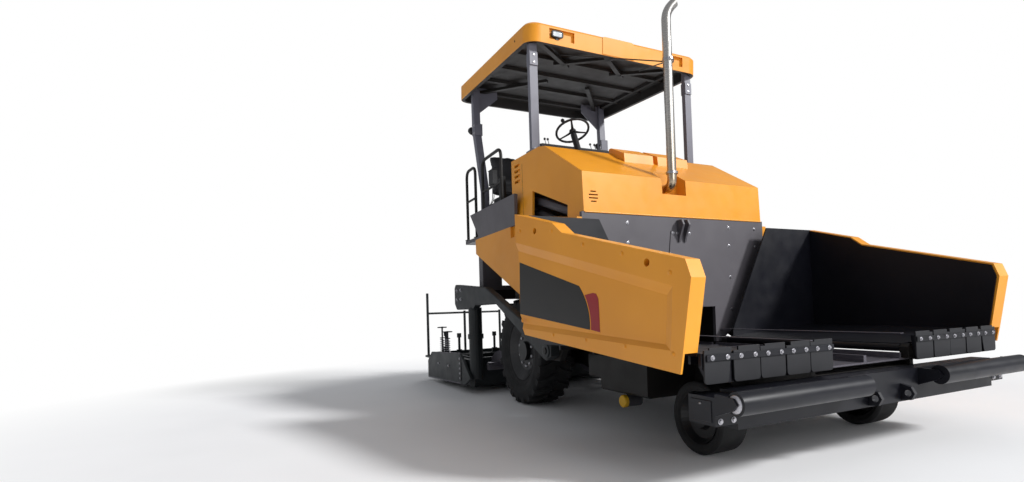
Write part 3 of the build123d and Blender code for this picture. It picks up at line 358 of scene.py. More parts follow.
bare = {   # the shader's values; two shades; bump depth in mm and its strength
    "mouldedTyreRubber": ({"Roughness": 0.72, "Specular IOR Level": 0.35}, ("#151516", "#262627"),
                          (0.25, 0.5)),
    "wornBareSteel": ({"Metallic": 0.75, "Roughness": 0.45}, ("#5C5961", "#7E7B83"), (0.1, 0.3)),
    "drawnStainless": ({"Metallic": 1.0, "Roughness": 0.28}, ("#CFCBC6", "#BBA88E"), (0.04, 0.25)),
    "zincPlatedSteel": ({"Metallic": 1.0, "Roughness": 0.32}, ("#C9C8CC", "#A9A8AE"), (0.05, 0.2)),
    "castIronSkin": ({"Roughness": 0.62, "Metallic": 0.2}, ("#34343A", "#46464C"), (0.5, 0.6)),
    "grainedVinyl": ({"Roughness": 0.5, "Sheen Weight": 0.1}, ("#17171A", "#25252A"), (0.3, 0.5)),
    "pressedLens": ({"Roughness": 0.06, "Metallic": 0.2, "Coat Weight": 1.0}, ("#C9D3DA", "#F4F8FA"),
                    (0.6, 0.5)),
}


def tyrePattern(tree, where):
    # moulded black rubber: fine grain, and a grey bloom in patches
    return ramp(tree, noise(tree, where, 120.0, 5.0), 0.35, 0.75), noise(tree, where, 2.2, 3.0), None


def wornPattern(tree, where):
    # bare steel polished by sliding asphalt: long scratches along the travel, 4 mm apart
    scratch = noise(tree, stretched(tree, where, (0.06, 1.0, 1.0)), 4.0, 4.0, 0.6)
    return ramp(tree, scratch, 0.3, 0.7), scratch, ramp(tree, scratch, 0.3, 0.7, 0.34, 0.56)


def stainlessPattern(tree, where):
    # drawn stainless tube: brushed round the pipe, straw tinted by heat from 2.9 m down to 2.1 m
    grain = noise(tree, stretched(tree, where, (0.05, 0.05, 1.0)), 1.6, 3.0)
    height = addNode(tree, "ShaderNodeSeparateXYZ", links={"Vector": where}).outputs["Z"]
    return ramp(tree, height, 2.9, 2.1), grain, ramp(tree, grain, 0.3, 0.7, 0.22, 0.36)


def zincPattern(tree, where):
    # zinc-plated fasteners: small, bright and slightly mottled
    return ramp(tree, noise(tree, where, 6.0, 2.0), 0.35, 0.65), noise(tree, where, 1.5), None


def castPattern(tree, where):
    # painted grey iron as cast: a sandy skin with about 2 mm grain
    skin = noise(tree, where, 2.0, 4.0)
    return skin, skin, None


def vinylPattern(tree, where):
    # calendered vinyl: a soft leather grain about 2 mm across
    cells = addNode(tree, "ShaderNodeTexVoronoi", {"Scale": 450.0}, {"Vector": where}).outputs["Distance"]
    return ramp(tree, noise(tree, where, 60.0), 0.3, 0.7), cells, None


def lensPattern(tree, where):
    # clear pressed lens: glass over a fluted reflector
    flutes = addNode(tree, "ShaderNodeTexWave", {"Scale": 60.0}, {"Vector": where},
                     bands_direction="Y").outputs["Fac"]
    return flutes, flutes, None


def makeBare(name, pattern):
    # a finish whose pattern gives the mix of its shades, the bump's height and, for some, the roughness
    values, shades, bump = bare[name]
    material, tree, shader, where = newMaterial(name, values)
    mix, height, rough = pattern(tree, where)
    shadeFrom(tree, shader, mix, shades)
    if rough:
        tree.links.new(rough, shader.inputs["Roughness"])
    bumpFrom(tree, shader, height, *bump)
    return material


plain = {   # dark shade, light shade, roughness, grain in mm, bump in mm
    "mouldedAbs": ("#161618", "#202023", 0.50, 1.2, 0.15),          # moulded black ABS: an even spark texture
    "rubberSheet": ("#0D0E14", "#15161C", 0.55, 2.5, 0.20),         # reinforced rubber flap: matt navy black
    "blackVinylFilm": ("#0E0B08", "#15110D", 0.38, 1.8, 0.03),      # cast vinyl film: smooth, warm black
    "redVinylFilm": ("#8E1018", "#9E151D", 0.36, 1.8, 0.03),        # the same film in signal red
    "yellowPlasticCap": ("#D9A716", "#E2B11C", 0.45, 1.5, 0.05),    # moulded polypropylene cap
    "seamShadow": ("#120D08", "#1A130C", 0.80, 3.0, 0.05),          # the dark inside of a panel joint
}


def makePlain(name):
    # a plain finish with a little drift of shade over 200 mm and an even fine grain
    dark, light, rough, grainMm, bumpMm = plain[name]
    material, tree, shader, where = newMaterial(name, {"Roughness": rough, "Metallic": 0.0})
    shadeFrom(tree, shader, ramp(tree, noise(tree, where, 200.0, 3.0), 0.3, 0.7), (dark, light))
    bumpFrom(tree, shader, noise(tree, where, grainMm), bumpMm, 0.5)
    return material


finish = {name: makePaint(name) for name in paint}
finish.update({name: makePlain(name) for name in plain})
finish.update({
    "tyre": makeBare("mouldedTyreRubber", tyrePattern),
    "wornSteel": makeBare("wornBareSteel", wornPattern),
    "stainless": makeBare("drawnStainless", stainlessPattern),
    "zinc": makeBare("zincPlatedSteel", zincPattern),
    "castIron": makeBare("castIronSkin", castPattern),
    "vinyl": makeBare("grainedVinyl", vinylPattern),
    "lens": makeBare("pressedLens", lensPattern),
})
finishOfSlot = {
    "yellow_paint": "amberEnamel", "dark_paint": "blueBlackEnamel", "grey_paint": "panelGreyEnamel",
    "post_paint": "postGreyEnamel", "frame_paint": "frameEnamel", "screed_steel": "screedEnamel",
    "tyre_rubber": "tyre", "rim_paint": "rimEnamel", "stainless": "stainless", "cast_iron": "castIron",
    "worn_steel": "wornSteel", "seat_vinyl": "vinyl", "lamp_lens": "lens", "black_plastic": "mouldedAbs",
}
finishOfNode = {"canopy_ribs": "liningEnamel"}   # a node that doesn't take its slot's finish
slotOfNode = {part["node"]: part["material_slot"] for part in frame["record"]["subparts"]}
for nodeName, node in frame["nodes"].items():
    wanted = finish[finishOfNode.get(nodeName, finishOfSlot[slotOfNode[nodeName]])]
    if not node.material_slots:
        node.data.materials.append(wanted)
    for place in node.material_slots:
        place.material = wanted
print("materials done")

wingLooks = {   # metres; outlines are (x from the rear axle, z)
    "skinAt": (1.6, -1.782), "taper": 0.0975, "fieldDepth": 0.024, "film": 0.0016, "proud": 0.0004,
    "panelRear": ((1.584, 1.005), (1.60, 1.417)), "stripeGap": 0.012,
    "panelCurve": ((2.411, 1.188), (2.535, 1.055), (2.521, 0.892)),
    "stripeFront": ((2.568, 1.134), (2.600, 1.128), (2.622, 1.095), (2.626, 1.03), (2.629, 0.878)),
    "bolt": (0.022, 0.0055),
    "bolts": ((1.66, 0.955), (1.66, 1.66), (2.12, 1.60), (2.5, 1.46), (2.9, 1.36), (3.30, 1.215),
              (3.30, 0.775), (2.9, 0.80), (2.5, 0.825), (2.1, 0.85)),
}


def wingSkinY(x):   # the right wing's outer face narrows towards the front: y = y0 + taper * (x - x0)
    x0, y0 = wingLooks["skinAt"]
    return y0 + wingLooks["taper"] * (x - x0)


def wingSurface(corners, recess, thick):
    # a thin sheet on the recessed field of the wing: an outline in (x, z) laid on y = wingSkinY(x) + recess
    x, z = anticlockwise(corners).T
    rows = [np.stack([x + axleX, wingSkinY(x) + recess - h, z], 1) for h in (0.0, thick)]
    return grid(np.stack(rows), roundV=True, caps=True)


def makeWingPanels():
    # a black panel whose front edge is (1-t)^2, 2t(1-t) and t^2 of three points, and a red stripe beside it
    f = wingLooks
    t = np.linspace(0, 1, 18)[:, None]
    top, corner, bottom = (np.array(p) for p in f["panelCurve"])
    curve = (1 - t) ** 2 * top + 2 * t * (1 - t) * corner + t ** 2 * bottom
    black = np.vstack([f["panelRear"], curve])
    beside = (curve + np.array([f["stripeGap"], 0.0]))[::-1][:14]
    red = np.vstack([f["stripeFront"], beside])
    lift = f["fieldDepth"] - f["proud"]
    pairOf("wing_black_panel", [wingSurface(black, lift, f["film"])], "blackVinylFilm", "wing", "dark_paint")
    pairOf("wing_red_stripe", [wingSurface(red, lift, f["film"])], "redVinylFilm", "wing", "dark_paint")


makeWingPanels()

apronLooks = {   # metres; flaps hang from high to low between inner and outer
    "front": 3.384, "low": 0.604, "high": 0.800, "inner": 0.440, "outer": 1.490, "count": 5, "gap": 0.008,
    "thick": 0.012, "round": 0.022, "steps": (0.012, 0.022), "slant": 0.030, "forward": 0.003,
    "narrow": 0.82, "lift": 0.001, "edge": 0.0015, "barX": (0.0165, 0.0225), "barZ": (0.728, 0.764),
    "barEnd": 0.02, "barEdge": 0.0012, "bolt": (0.019, 0.009), "boltAt": (0.2, 0.72), "boltSunk": 0.0003,
}


def flapOutline(width, tall, step, slant=0.0):
    # a hanging flap in (y, z): straight bottom with round corners, its top cut down at one end
    r, narrow = apronLooks["round"], apronLooks["narrow"]
    a = np.linspace(0, pi / 2, 6)
    left = np.stack([r - r * np.cos(a) + slant, r - r * np.sin(a)], 1)
    right = np.stack([width - r + r * np.sin(a), r - r * np.cos(a)], 1)
    top = [(width, tall - step), (width * narrow, tall - step), (width * narrow, tall), (0, tall)]
    return np.vstack([left, right, top])


def makeApron():
    # rubber flaps in front of each apron, every second one further forward, held by a bar with bolts
    f = apronLooks
    wide = (f["outer"] - f["inner"]) / f["count"]
    flaps, boltY = [], []
    for k in range(f["count"]):
        outline = flapOutline(wide - f["gap"], f["high"] - f["low"], f["steps"][k % 2],
                              f["slant"] if k == f["count"] - 1 else 0.0)
        outline = np.stack([-(f["inner"] + k * wide) - outline[:, 0], outline[:, 1] + f["low"]], 1)
        x = f["front"] + f["lift"] + f["forward"] * (k % 2)
        flaps.append(endPlate(outline, x, x + f["thick"], f["edge"]))
        boltY += [-(f["inner"] + (k + share) * wide) for share in f["boltAt"]]
    bar = brick(f["front"] + f["barX"][0], f["front"] + f["barX"][1], f["barEnd"] - f["outer"],
                -f["inner"], *f["barZ"], f["barEdge"])
    boltX, boltZ = f["front"] + f["barX"][1] - f["boltSunk"], sum(f["barZ"]) / 2
    pairOf("apron_flaps", flaps, "rubberSheet", "wing", "black_plastic")
    pairOf("apron_bar", [bar], "blueBlackEnamel", "wing", "dark_paint")
    pairOf("apron_bolts", [bolts(f["bolt"], (1, 0, 0), boltX, boltY, boltZ)], "zinc", "wing", "worn_steel")


makeApron()


def makeWingBolts():
    # low heads along the edges of the wing's outer skin
    f = wingLooks
    x, z = np.array(f["bolts"]).T
    places = np.stack([x + axleX, wingSkinY(x) + sunk, z], 1)
    head = hexHead(*f["bolt"], (0, -1, 0))
    pairOf("wing_skin_bolts", [spread(head, places)], "amberEnamel", "wing", "yellow_paint")


makeWingBolts()

wallLooks = {   # metres: bolts on the hopper's rear wall and on the flap across it, as size, x, y and z,
    # and the bright wear strips along the conveyor's tunnel
    "bolts": (((0.020, 0.010), 1.4795, (-0.98, -0.62, 0.62, 0.98), (0.98, 1.3, 1.62, 1.80)),
              ((0.018, 0.009), 1.4875, (-0.10, -0.05, 0.05, 0.10), 1.725),
              ((0.018, 0.009), 1.4875, (-0.15, 0.15), 1.28)),
    "stripX": (1.50, 3.28), "stripY": 0.475, "stripHalf": 0.02, "stripZ": (0.7795, 0.7855),
    "stripEdge": 0.001,
}


def makeHopperWall():
    # rows of bolts on the rear wall, and a bright strip along each side of the conveyor
    f = wallLooks
    heads = [bolts(size, (1, 0, 0), *where) for size, *where in f["bolts"]]
    piece("hopper_wall_bolts", heads, "zinc", "chassis", "worn_steel")
    strips = [brick(*f["stripX"], y - f["stripHalf"], y + f["stripHalf"], *f["stripZ"], f["stripEdge"])
              for y in (-f["stripY"], f["stripY"])]
    piece("conveyor_wear_strips", strips, "wornSteel", "chassis", "worn_steel")


makeHopperWall()
print("hopper details done")

wheelLooks = {   # metres, from the wheel's centre
    "rear": {"rim": 0.318, "tread": 0.549, "half": 0.200},
    "front": {"rim": 0.178, "tread": 0.252, "half": 0.121},
    "lugs": 22, "lugTall": 0.030, "lugReach": 0.98, "lean": 0.16, "lugAcross": (0.05, 0.93), "lugFall": 0.012,
    "lugWidth": ((0, 0.6, 1), (0.050, 0.062, 0.078)), "lugDeep": (0.039, 0.006),
    "edgeWide": 0.78, "treadWide": 0.4, "beadRise": 0.001, "edgeDrop": 0.002,
    "rearNuts": 10, "rearNutRing": 0.165, "rearNut": (0.030, 0.024), "rearDisc": 0.088,
    "frontNuts": 8, "frontNutRing": 0.088, "frontNut": (0.024, 0.018), "frontDisc": 0.040,
    "rearCap": ((0.098, -0.004), (0.098, 0.010), (0.088, 0.022), (0.060, 0.030), (0.0005, 0.034)),
    "rearRidge": ((0.240, -0.004), (0.236, 0.006), (0.226, 0.006), (0.222, -0.004)),
    "frontCap": ((0.052, -0.004), (0.052, 0.020), (0.044, 0.032), (0.0005, 0.036)),
}
sidewall = (   # (share of the height from rim to tread, share of half the width): bead, ribs, shoulder
    (0.06, 0.84), (0.16, 0.86), (0.20, 0.895), (0.24, 0.895), (0.28, 0.93), (0.50, 0.985), (0.54, 1.0),
    (0.60, 1.0), (0.64, 0.985), (0.80, 0.965), (0.90, 0.93), (0.97, 0.87),
)


def tyreBody(centre, rim, tread, half, sides=96):
    # a closed ring swung round the axle: flat tread, rounded shoulders, ribbed sidewalls and beads at the rim
    f = wheelLooks
    side = [(rim + f["beadRise"], f["edgeWide"]),
            *[(rim + tall * (tread - rim), wide) for tall, wide in sidewall],
            (tread - f["edgeDrop"], f["edgeWide"])]
    outer = [(r, w * half) for r, w in side]
    flat = [(tread, f["treadWide"] * half), (tread, -f["treadWide"] * half)]
    inner = [(r, -w * half) for r, w in side[::-1]]
    return turned(outer + flat + inner, centre, (0, -1, 0), sides, closed=True)


def chevronLugs(centre, tread, half, count, tall):
    # bars from near the middle (t = 0) to the shoulder (t = 1): angle = lean * t ^ 0.8 + share * width and
    # y = half * (start + reach * t); their tops fall away beyond t = 0.7 and their feet go down the shoulder
    f = wheelLooks
    t = np.linspace(0, 1, 7)
    width = np.interp(t, *f["lugWidth"]) / tread
    start, reach = f["lugAcross"]
    y = half * (start + reach * t)
    top = tread + tall - f["lugFall"] * np.clip(t - 0.7, 0, 1) / 0.3
    low = tread - np.where(t > 0.85, *f["lugDeep"])
    rings = []
    for share, radius in ((-0.5, low), (-0.40, top), (0.40, top), (0.5, low)):
        angle = f["lean"] * t ** 0.8 + share * width
        rings.append(np.stack([radius * np.sin(angle), -y, radius * np.cos(angle)], 1))
    lug = grid(np.stack(rings, 1) + np.asarray(centre), roundV=True, caps=True)
    mirrored = lug[0].copy()
    mirrored[:, 1] = 2 * centre[1] - mirrored[:, 1]
    angles = evenly(count)
    return [around(lug, centre, angles), around((mirrored, *lug[1:]), centre, angles + pi / count)]


def makeWheels():
    # tyres in place of the plain ones, a ring of nuts on each disc, and hub caps, the rear ones with a ridge
    f = wheelLooks
    rear, front = middle("rear_tyre_right"), middle("front_tyre_right")
    tyre = f["rear"]
    rearParts = [tyreBody(rear, *tyre.values())]
    rearParts += chevronLugs(rear, tyre["tread"], tyre["half"] * f["lugReach"], f["lugs"], f["lugTall"])
    pairOf("rear_tyre_looks", rearParts, "tyre", "rear_wheel", "tyre_rubber", stands=("rear_tyre",), angle=28)
    pairOf("front_tyre_looks", [tyreBody(front, *f["front"].values())], "tyre", "front_wheel", "tyre_rubber",
           stands=("front_tyre",), angle=28)
    outwards = np.array([0, -1.0, 0])
    for end, centre in (("rear", rear), ("front", front)):
        disc = centre + outwards * f[end + "Disc"]
        head = hexHead(*f[end + "Nut"], outwards, disc + np.array([0, 0, f[end + "NutRing"]]))
        nuts = around(head, centre, evenly(f[end + "Nuts"]))
        cap = [turned(f[end + "Cap"], disc, outwards, 40 if end == "rear" else 32)]
        if end == "rear":
            cap.append(turned(f["rearRidge"], disc, outwards, 56, closed=True))
        pairOf(end + "_hub_nuts", [nuts], "zinc", end + "_wheel", "worn_steel")
        pairOf(end + "_hub_cap", cap, "rimEnamel", end + "_wheel", "rim_paint")


makeWheels()
print("wheels done")

exhaustLooks = {   # metres, from the rear axle
    "radius": 0.045, "wall": 0.003, "corner": 0.09, "clampZ": 3.40, "footZ": 2.30,
    "path": ((1.330, -0.100, 2.165), (1.500, -0.100, 2.165), (1.500, -0.100, 3.870), (1.520, -0.010, 3.970)),
    "band": ((0.046, -0.014), (0.050, -0.014), (0.050, 0.014), (0.046, 0.014)),
    "foot": ((0.046, -0.01), (0.058, -0.01), (0.058, 0.012), (0.050, 0.016), (0.046, 0.016)),
    "lugX": (0.041, 0.063), "lugHalf": 0.012, "lugEdge": 0.001, "stayFoot": (0.30, 3.86),
    "stays": ((0.45, 0.012), (-0.62, -0.012)), "stayEnd": -0.043, "stayRadius": 0.006,
}


def makeExhaust():
    # an open pipe, path + radius * (cos a * u + sin a * v), whose surface turns back inside at the mouth;
    # a clamp with a lug and a foot ring hold it, and two rods stay it to the roof's front
    f = exhaustLooks
    steps, depth = 12, 14
    line = rounded([at(*p) for p in f["path"]], f["corner"], steps)
    straight = np.linspace(line[steps], line[steps + 1], 8)[1:-1]
    line = np.vstack([line[:steps + 1], straight, line[steps + 1:]])
    radius = np.concatenate([np.full(len(line), f["radius"]), np.full(depth, f["radius"] - f["wall"])])
    along = unit(np.gradient(line, axis=0))
    path, along = np.vstack([line, line[::-1][:depth]]), np.vstack([along, along[::-1][:depth]])
    u = unit(np.array([0, 1.0, 0]) - along[:, 1:2] * along)
    ring = ringOf(u, np.cross(along, u), 40)
    pipe = grid(path[:, None] + radius[:, None, None] * ring, roundV=True, caps=True)
    x, y = f["path"][2][:2]
    band = turned(f["band"], at(x, y, f["clampZ"]), (0, 0, 1), 40, closed=True)
    (lug0, lug1), h, z = f["lugX"], f["lugHalf"], f["clampZ"]
    lug = brick(x + lug0, x + lug1, y - h, y + h, z - h, z + h, f["lugEdge"])
    foot = turned(f["foot"], at(x, y, f["footZ"]), (0, 0, 1), 40, closed=True)
    piece("exhaust_pipe", [pipe], "stainless", "chassis", "stainless", stands=("exhaust_stack",), angle=50)
    piece("exhaust_clamps", [band, foot, lug], "zinc", "chassis", "worn_steel")
    footX, footZ = f["stayFoot"]
    rods = [tube([at(footX, stayY, footZ), at(x + f["stayEnd"], y + lean, z)], f["stayRadius"], 10)
            for stayY, lean in f["stays"]]
    piece("exhaust_stay_rods", rods, "frameEnamel", "chassis", "dark_paint")


makeExhaust()

hoodLooks = {   # metres: side seam with rivets behind it, top seam, latches and the rolled front lip
    "seamX": (0.252, 0.2555), "seamZ": (1.90, 2.60), "seamY": (-0.0012, 0.004), "skinX": 0.254,
    "sideSlope": 0.041 / 1.5, "rivetX": 0.232, "rivetProud": 0.0006,
    "rivetZ": (2.02, 2.56), "rivets": 7, "rivet": ((0.0055, -0.001), (0.0055, 0.001), (0.004, 0.0028),
                                                  (0.0003, 0.0034)),
    "topZ": 2.690, "topSeamX": (0.380, 0.384), "topSeamHalf": 0.96, "topSeamZ": (-0.0004, 0.0008),
    "latchX": (0.340, 0.424), "latchY": 0.45, "latchHalf": 0.018, "latchTall": 0.008, "latchEdge": 0.002,
    "pullX": (0.352, 0.412), "pullZ": (0.006, 0.022), "pullBend": 0.008, "pullRadius": 0.004,
    "lipX": 1.4815, "lipZ": 1.884, "lipHalf": 1.072, "lipRadius": 0.007,
}


def makeHoodTrim():
    # thin dark lines where sheets meet, and rivets beside the louvre panel
    f = hoodLooks
    skinY = face("hood", "y", 0) + f["sideSlope"] * (f["skinX"] - face("hood", "x", 0))
    seam = brick(*f["seamX"], *[skinY + y for y in f["seamY"]], *f["seamZ"], 0.0)
    piece("hood_side_seams", withTwins(seam), "seamShadow", "chassis", "dark_paint")
    rivet = turned(f["rivet"], (0, 0, 0), (0, -1, 0), 12)
    rows = spread(rivet, [at(f["rivetX"], skinY - f["rivetProud"], z)
                          for z in np.linspace(*f["rivetZ"], f["rivets"])])
    piece("hood_rivets", withTwins(rows), "amberEnamel", "chassis", "yellow_paint")


makeHoodTrim()
print("exhaust and hood details done")

postLooks = {   # metres from the rear axle; bolts as size, facing, x, y and z
    "foot": ((0.352, 2.686), (0.560, 2.686), (0.545, 2.712), (0.478, 2.722), (0.470, 2.83), (0.405, 2.83),
             (0.400, 2.722), (0.360, 2.712)),
    "footY": (-1.0065, -0.9995), "footEdge": 0.0015,
    "base": (0.350, 0.535, -1.095, -0.985, 2.686, 2.702, 0.003),
    "collar": (0.398, 0.482, -1.0855, -0.9945, 3.60, 3.74, 0.003),
    "knee": (-1.475, -1.385, -1.0545, -0.9455, 3.40, 3.56, 0.004),
    "low": (-1.262, -1.158, -1.058, -0.942, 2.008, 2.026, 0.003),
    "bolts": (((0.020, 0.010), (0, 0, 1), (0.370, 0.515), (-1.075, -1.005), 2.7015),
              ((0.018, 0.009), (1, 0, 0), 0.4815, -1.04, (3.63, 3.71)),
              ((0.022, 0.011), (0, -1, 0), (-1.455, -1.405), -1.054, (3.43, 3.53)),
              ((0.024, 0.012), (0, 0, 1), (-1.25, -1.17), -1.0505, 2.0255)),
}


def makeCanopyTrim():
    # cast feet and collars on the front posts, irons at the knees and feet of the rear ones, and their bolts
    f = postLooks
    irons = [brick(*f[name]) for name in ("base", "collar", "knee", "low")]
    irons.append(sidePlate(f["foot"], *f["footY"], f["footEdge"]))
    piece("post_brackets", withTwins(*irons), "postGreyEnamel", "chassis", "post_paint")
    piece("post_bolts", withTwins(*[bolts(*row) for row in f["bolts"]]), "zinc", "chassis", "worn_steel")


makeCanopyTrim()

railLooks = {   # metres from the rear axle; each loop as front x, rear x, foot height, middle bar height
    "loops": ((-0.420, -1.060, 2.270, 2.560), (-1.345, -1.700, 2.010, 2.540)),
    "y": -1.08, "top": 2.96, "bend": 0.11, "radius": 0.019, "barRadius": 0.015,
    "foot": ((0.042, 0.0), (0.042, 0.006), (0.034, 0.010), (0.019, 0.012)),
}


def makeRails():
    # bent tube rails on each side, with a middle bar and round feet
    f = railLooks
    y, top, parts = f["y"], f["top"], []
    for x0, x1, foot, bar in f["loops"]:
        loop = [(x0, y, foot), (x0, y, top), (x1, y, top), (x1, y, foot)]
        parts.append(bentTube(loop, f["bend"], 9, f["radius"], 20))
        parts.append(tube([at(x0, y, bar), at((x0 + x1) / 2, y, bar), at(x1, y, bar)], f["barRadius"], 16))
        parts += [turned(f["foot"], at(x, y, foot), (0, 0, 1), 24) for x in (x0, x1)]
    piece("platform_rails", withTwins(*parts), "frameEnamel", "chassis", "dark_paint", stands=("handrails",))


makeRails()

steeringLooks = {   # metres, and angles in degrees; a spoke's stations run from the hub to the rim
    "rim": 0.200, "grip": 0.014, "centre": (-0.150, -0.240, 3.160), "lean": 25.0, "rimRise": 0.031,
    "waves": 24, "waveShare": 0.05, "spokes": (90, 210, 330), "spokeAlong": (0.030, 0.08, 0.14, 0.196),
    "spokeDrop": (0.012, 0.011, 0.006, 0.0), "spokeHalf": (0.020, 0.015, 0.012, 0.010), "spokeThick": 0.007,
    "hub": ((0.030, -0.026), (0.037, -0.018), (0.042, -0.008), (0.040, 0.004), (0.026, 0.010),
            (0.0005, 0.012)),
    "knob": ((0.009, 0.0), (0.009, 0.012), (0.021, 0.020), (0.024, 0.034), (0.018, 0.048), (0.0005, 0.052)),
    "knobAt": (0.5, -0.86), "knobRise": 0.012,
}


def makeSteeringWheel():
    # the rim's grip is grip * (1 + share * cos(waves * a)) thick, so that it waves along the fingers;
    # inside it are three flat spokes and a hub cap, and a spinner knob stands on it
    f = steeringLooks
    lean, y = radians(f["lean"]), np.array([0, 1.0, 0])
    axis = np.array([-sin(lean), 0, cos(lean)])
    centre = at(*f["centre"]) + f["rimRise"] * axis
    u = unit(np.cross(y, axis))
    outwards = ringOf(u, y, 96)
    a = np.linspace(0, 2 * pi, 96, endpoint=False)
    b = np.linspace(0, 2 * pi, 14, endpoint=False)[None, :, None]
    grip = f["grip"] * (1 + f["waveShare"] * np.cos(f["waves"] * a))[:, None, None]
    rim = (centre + f["rim"] * outwards)[:, None] + grip * (np.cos(b) * outwards[:, None] + np.sin(b) * axis)
    parts = [grid(rim, roundU=True, roundV=True)]
    c = np.linspace(0, 2 * pi, 16, endpoint=False)[None, :, None]
    along, drop, half = (np.array(f[k])[:, None] for k in ("spokeAlong", "spokeDrop", "spokeHalf"))
    for angle in np.radians(f["spokes"]):
        d = cos(angle) * u + sin(angle) * y
        line = (centre + along * d - drop * axis)[:, None]
        oval = half[:, None] * np.cos(c) * np.cross(axis, d) + f["spokeThick"] * np.sin(c) * axis
        parts.append(grid(line + oval, roundV=True, caps=True))
    parts.append(turned(f["hub"], centre, axis, 32))
    knobPlace = centre + along[-1] * unit(f["knobAt"][0] * u + f["knobAt"][1] * y) + f["knobRise"] * axis
    parts.append(turned(f["knob"], knobPlace, axis, 24))
    piece("steering_wheel_rim", parts, "mouldedAbs", "steering_wheel", "black_plastic", angle=40,
          stands=("steering_wheel",))


makeSteeringWheel()
print("canopy, rails and steering wheel done")

roofLooks = {   # metres, in the roof's own frame: x forward from its front edge, z up from its underside
    "front": 0.560, "half": face("canopy_roof", "y", 1), "underside": face("canopy_roof", "z", 0),
    "length": 2.355, "rise": 0.150, "run": 2.35, "corner": 0.150, "tightest": 0.04,
    "tray": ((0.006, -0.0015), (0.047, -0.0015), (0.047, 0.118), (0.060, 0.141), (0.300, 0.1435),
             (0.300, 0.1448), (0.0465, 0.1448), (0.0455, 0.004), (0.0440, -0.0002), (0.006, -0.0002)),
    "sheetInset": 0.29, "sheetZ": (0.1425, 0.1445),
    "braceWide": 0.055, "braceZ": (0.068, 0.104), "crossWide": 0.085, "crossZ": (0.062, 0.128),
    "braces": (((-0.17, -0.95), (-0.70, -0.30)), ((-0.17, 0.95), (-0.70, 0.30)),
               ((-0.17, 0.10), (-0.70, -0.48)), ((-0.17, -0.10), (-0.70, 0.48)),
               ((-1.25, -0.30), (-2.10, -0.92)), ((-1.25, 0.30), (-2.10, 0.92))),
    "cross": ((-0.09, -1.09), (-0.09, 1.09)),
    "pressing": ((-0.235, 0.006), (0.180, 0.006), (0.180, 0.190), (0.150, 0.199), (-0.205, 0.199),
                 (-0.235, 0.190)),
    "pressingX": ((-0.004, 0.0), (0.004, 0.0), (0.006, 0.002)),
    "plug": ((0.012, -0.001), (0.012, 0.0012), (0.009, 0.002), (0.0003, 0.0022)),
    "plugAt": (-0.34, -1.1398, 0.10),
}


def roofPlace(points):
    # the roof's frame leans: x' = x cos a + z sin a and z' = z cos a - x sin a
    f = roofLooks
    a = np.arctan2(f["rise"], f["run"])
    x, y, z = np.moveaxis(np.asarray(points, float), -1, 0)
    place = at(f["front"], 0, f["underside"])
    return np.stack([x * cos(a) + z * sin(a) + place[0], y, z * cos(a) - x * sin(a) + place[2]], -1)


def roofLayer(outline, z):   # a plan outline (x, y) at one height of the roof's frame
    return roofPlace(np.column_stack([outline, np.full(len(outline), z)]))


def roofSlab(outline, heights):   # a plan outline, as thick as from one height to the next
    return grid(np.stack([roofLayer(outline, z) for z in heights]), roundV=True, caps=True)


def roundRectangle(x0, x1, half, corner, steps=8):
    a = np.linspace(0, pi / 2, steps)
    c, s = corner * np.cos(a), corner * np.sin(a)
    return np.vstack([np.stack([x1 - corner + c, half - corner + s], 1),
                      np.stack([x0 + corner - s, half - corner + c], 1),
                      np.stack([x0 + corner - c, -half + corner - s], 1),
                      np.stack([x1 - corner + s, -half + corner - c], 1)])


def roofOutline(inwards, corner):   # the roof's plan, drawn in on every side
    f = roofLooks
    return roundRectangle(inwards - f["length"], -inwards, f["half"] - inwards, corner)


def makeRoofLining():
    # one dark pressed tray: over the rim's lower edge, up its inner wall and across under the skin
    f = roofLooks
    rings = [roofLayer(roofOutline(inwards, max(f["corner"] - inwards, f["tightest"])), z)
             for inwards, z in f["tray"]]
    tray = grid(np.stack(rings), roundU=True, roundV=True)
    sheet = roofSlab(roofOutline(f["sheetInset"], f["tightest"]), f["sheetZ"])
    piece("roof_lining", [tray, sheet], "liningEnamel", "chassis", "dark_paint", angle=25)


def roofBar(start, end, width, heights):
    # a flat bar under the roof between two plan points of the roof's frame
    p, q = np.array(start), np.array(end)
    side = unit(np.array([-(q - p)[1], (q - p)[0]])) * width / 2
    return roofSlab(np.array([p - side, q - side, q + side, p + side]), heights)


def makeRoofBraces():
    # slanting bars under the lining and one bar across behind the front rim
    f = roofLooks
    bars = [roofBar(*ends, f["braceWide"], f["braceZ"]) for ends in f["braces"]]
    bars.append(roofBar(*f["cross"], f["crossWide"], f["crossZ"]))
    piece("roof_braces", bars, "frameEnamel", "chassis", "dark_paint")


def makeRoofFront():
    # the pressing is 6 mm proud in the middle of the front rim; a plug closes a hole in each side
    f = roofLooks
    outline = np.array(f["pressing"])
    rings = [roofPlace(np.column_stack([np.full(len(outline), x), inset(outline, edge)]))
             for x, edge in f["pressingX"]]
    piece("roof_front_pressing", [grid(np.stack(rings), roundV=True, caps=True)], "amberEnamel", "chassis",
          "yellow_paint")
    plug = turned(f["plug"], roofPlace(f["plugAt"]), (0, -1, 0), 20)
    piece("roof_side_plugs", withTwins(plug), "seamShadow", "chassis", "dark_paint")


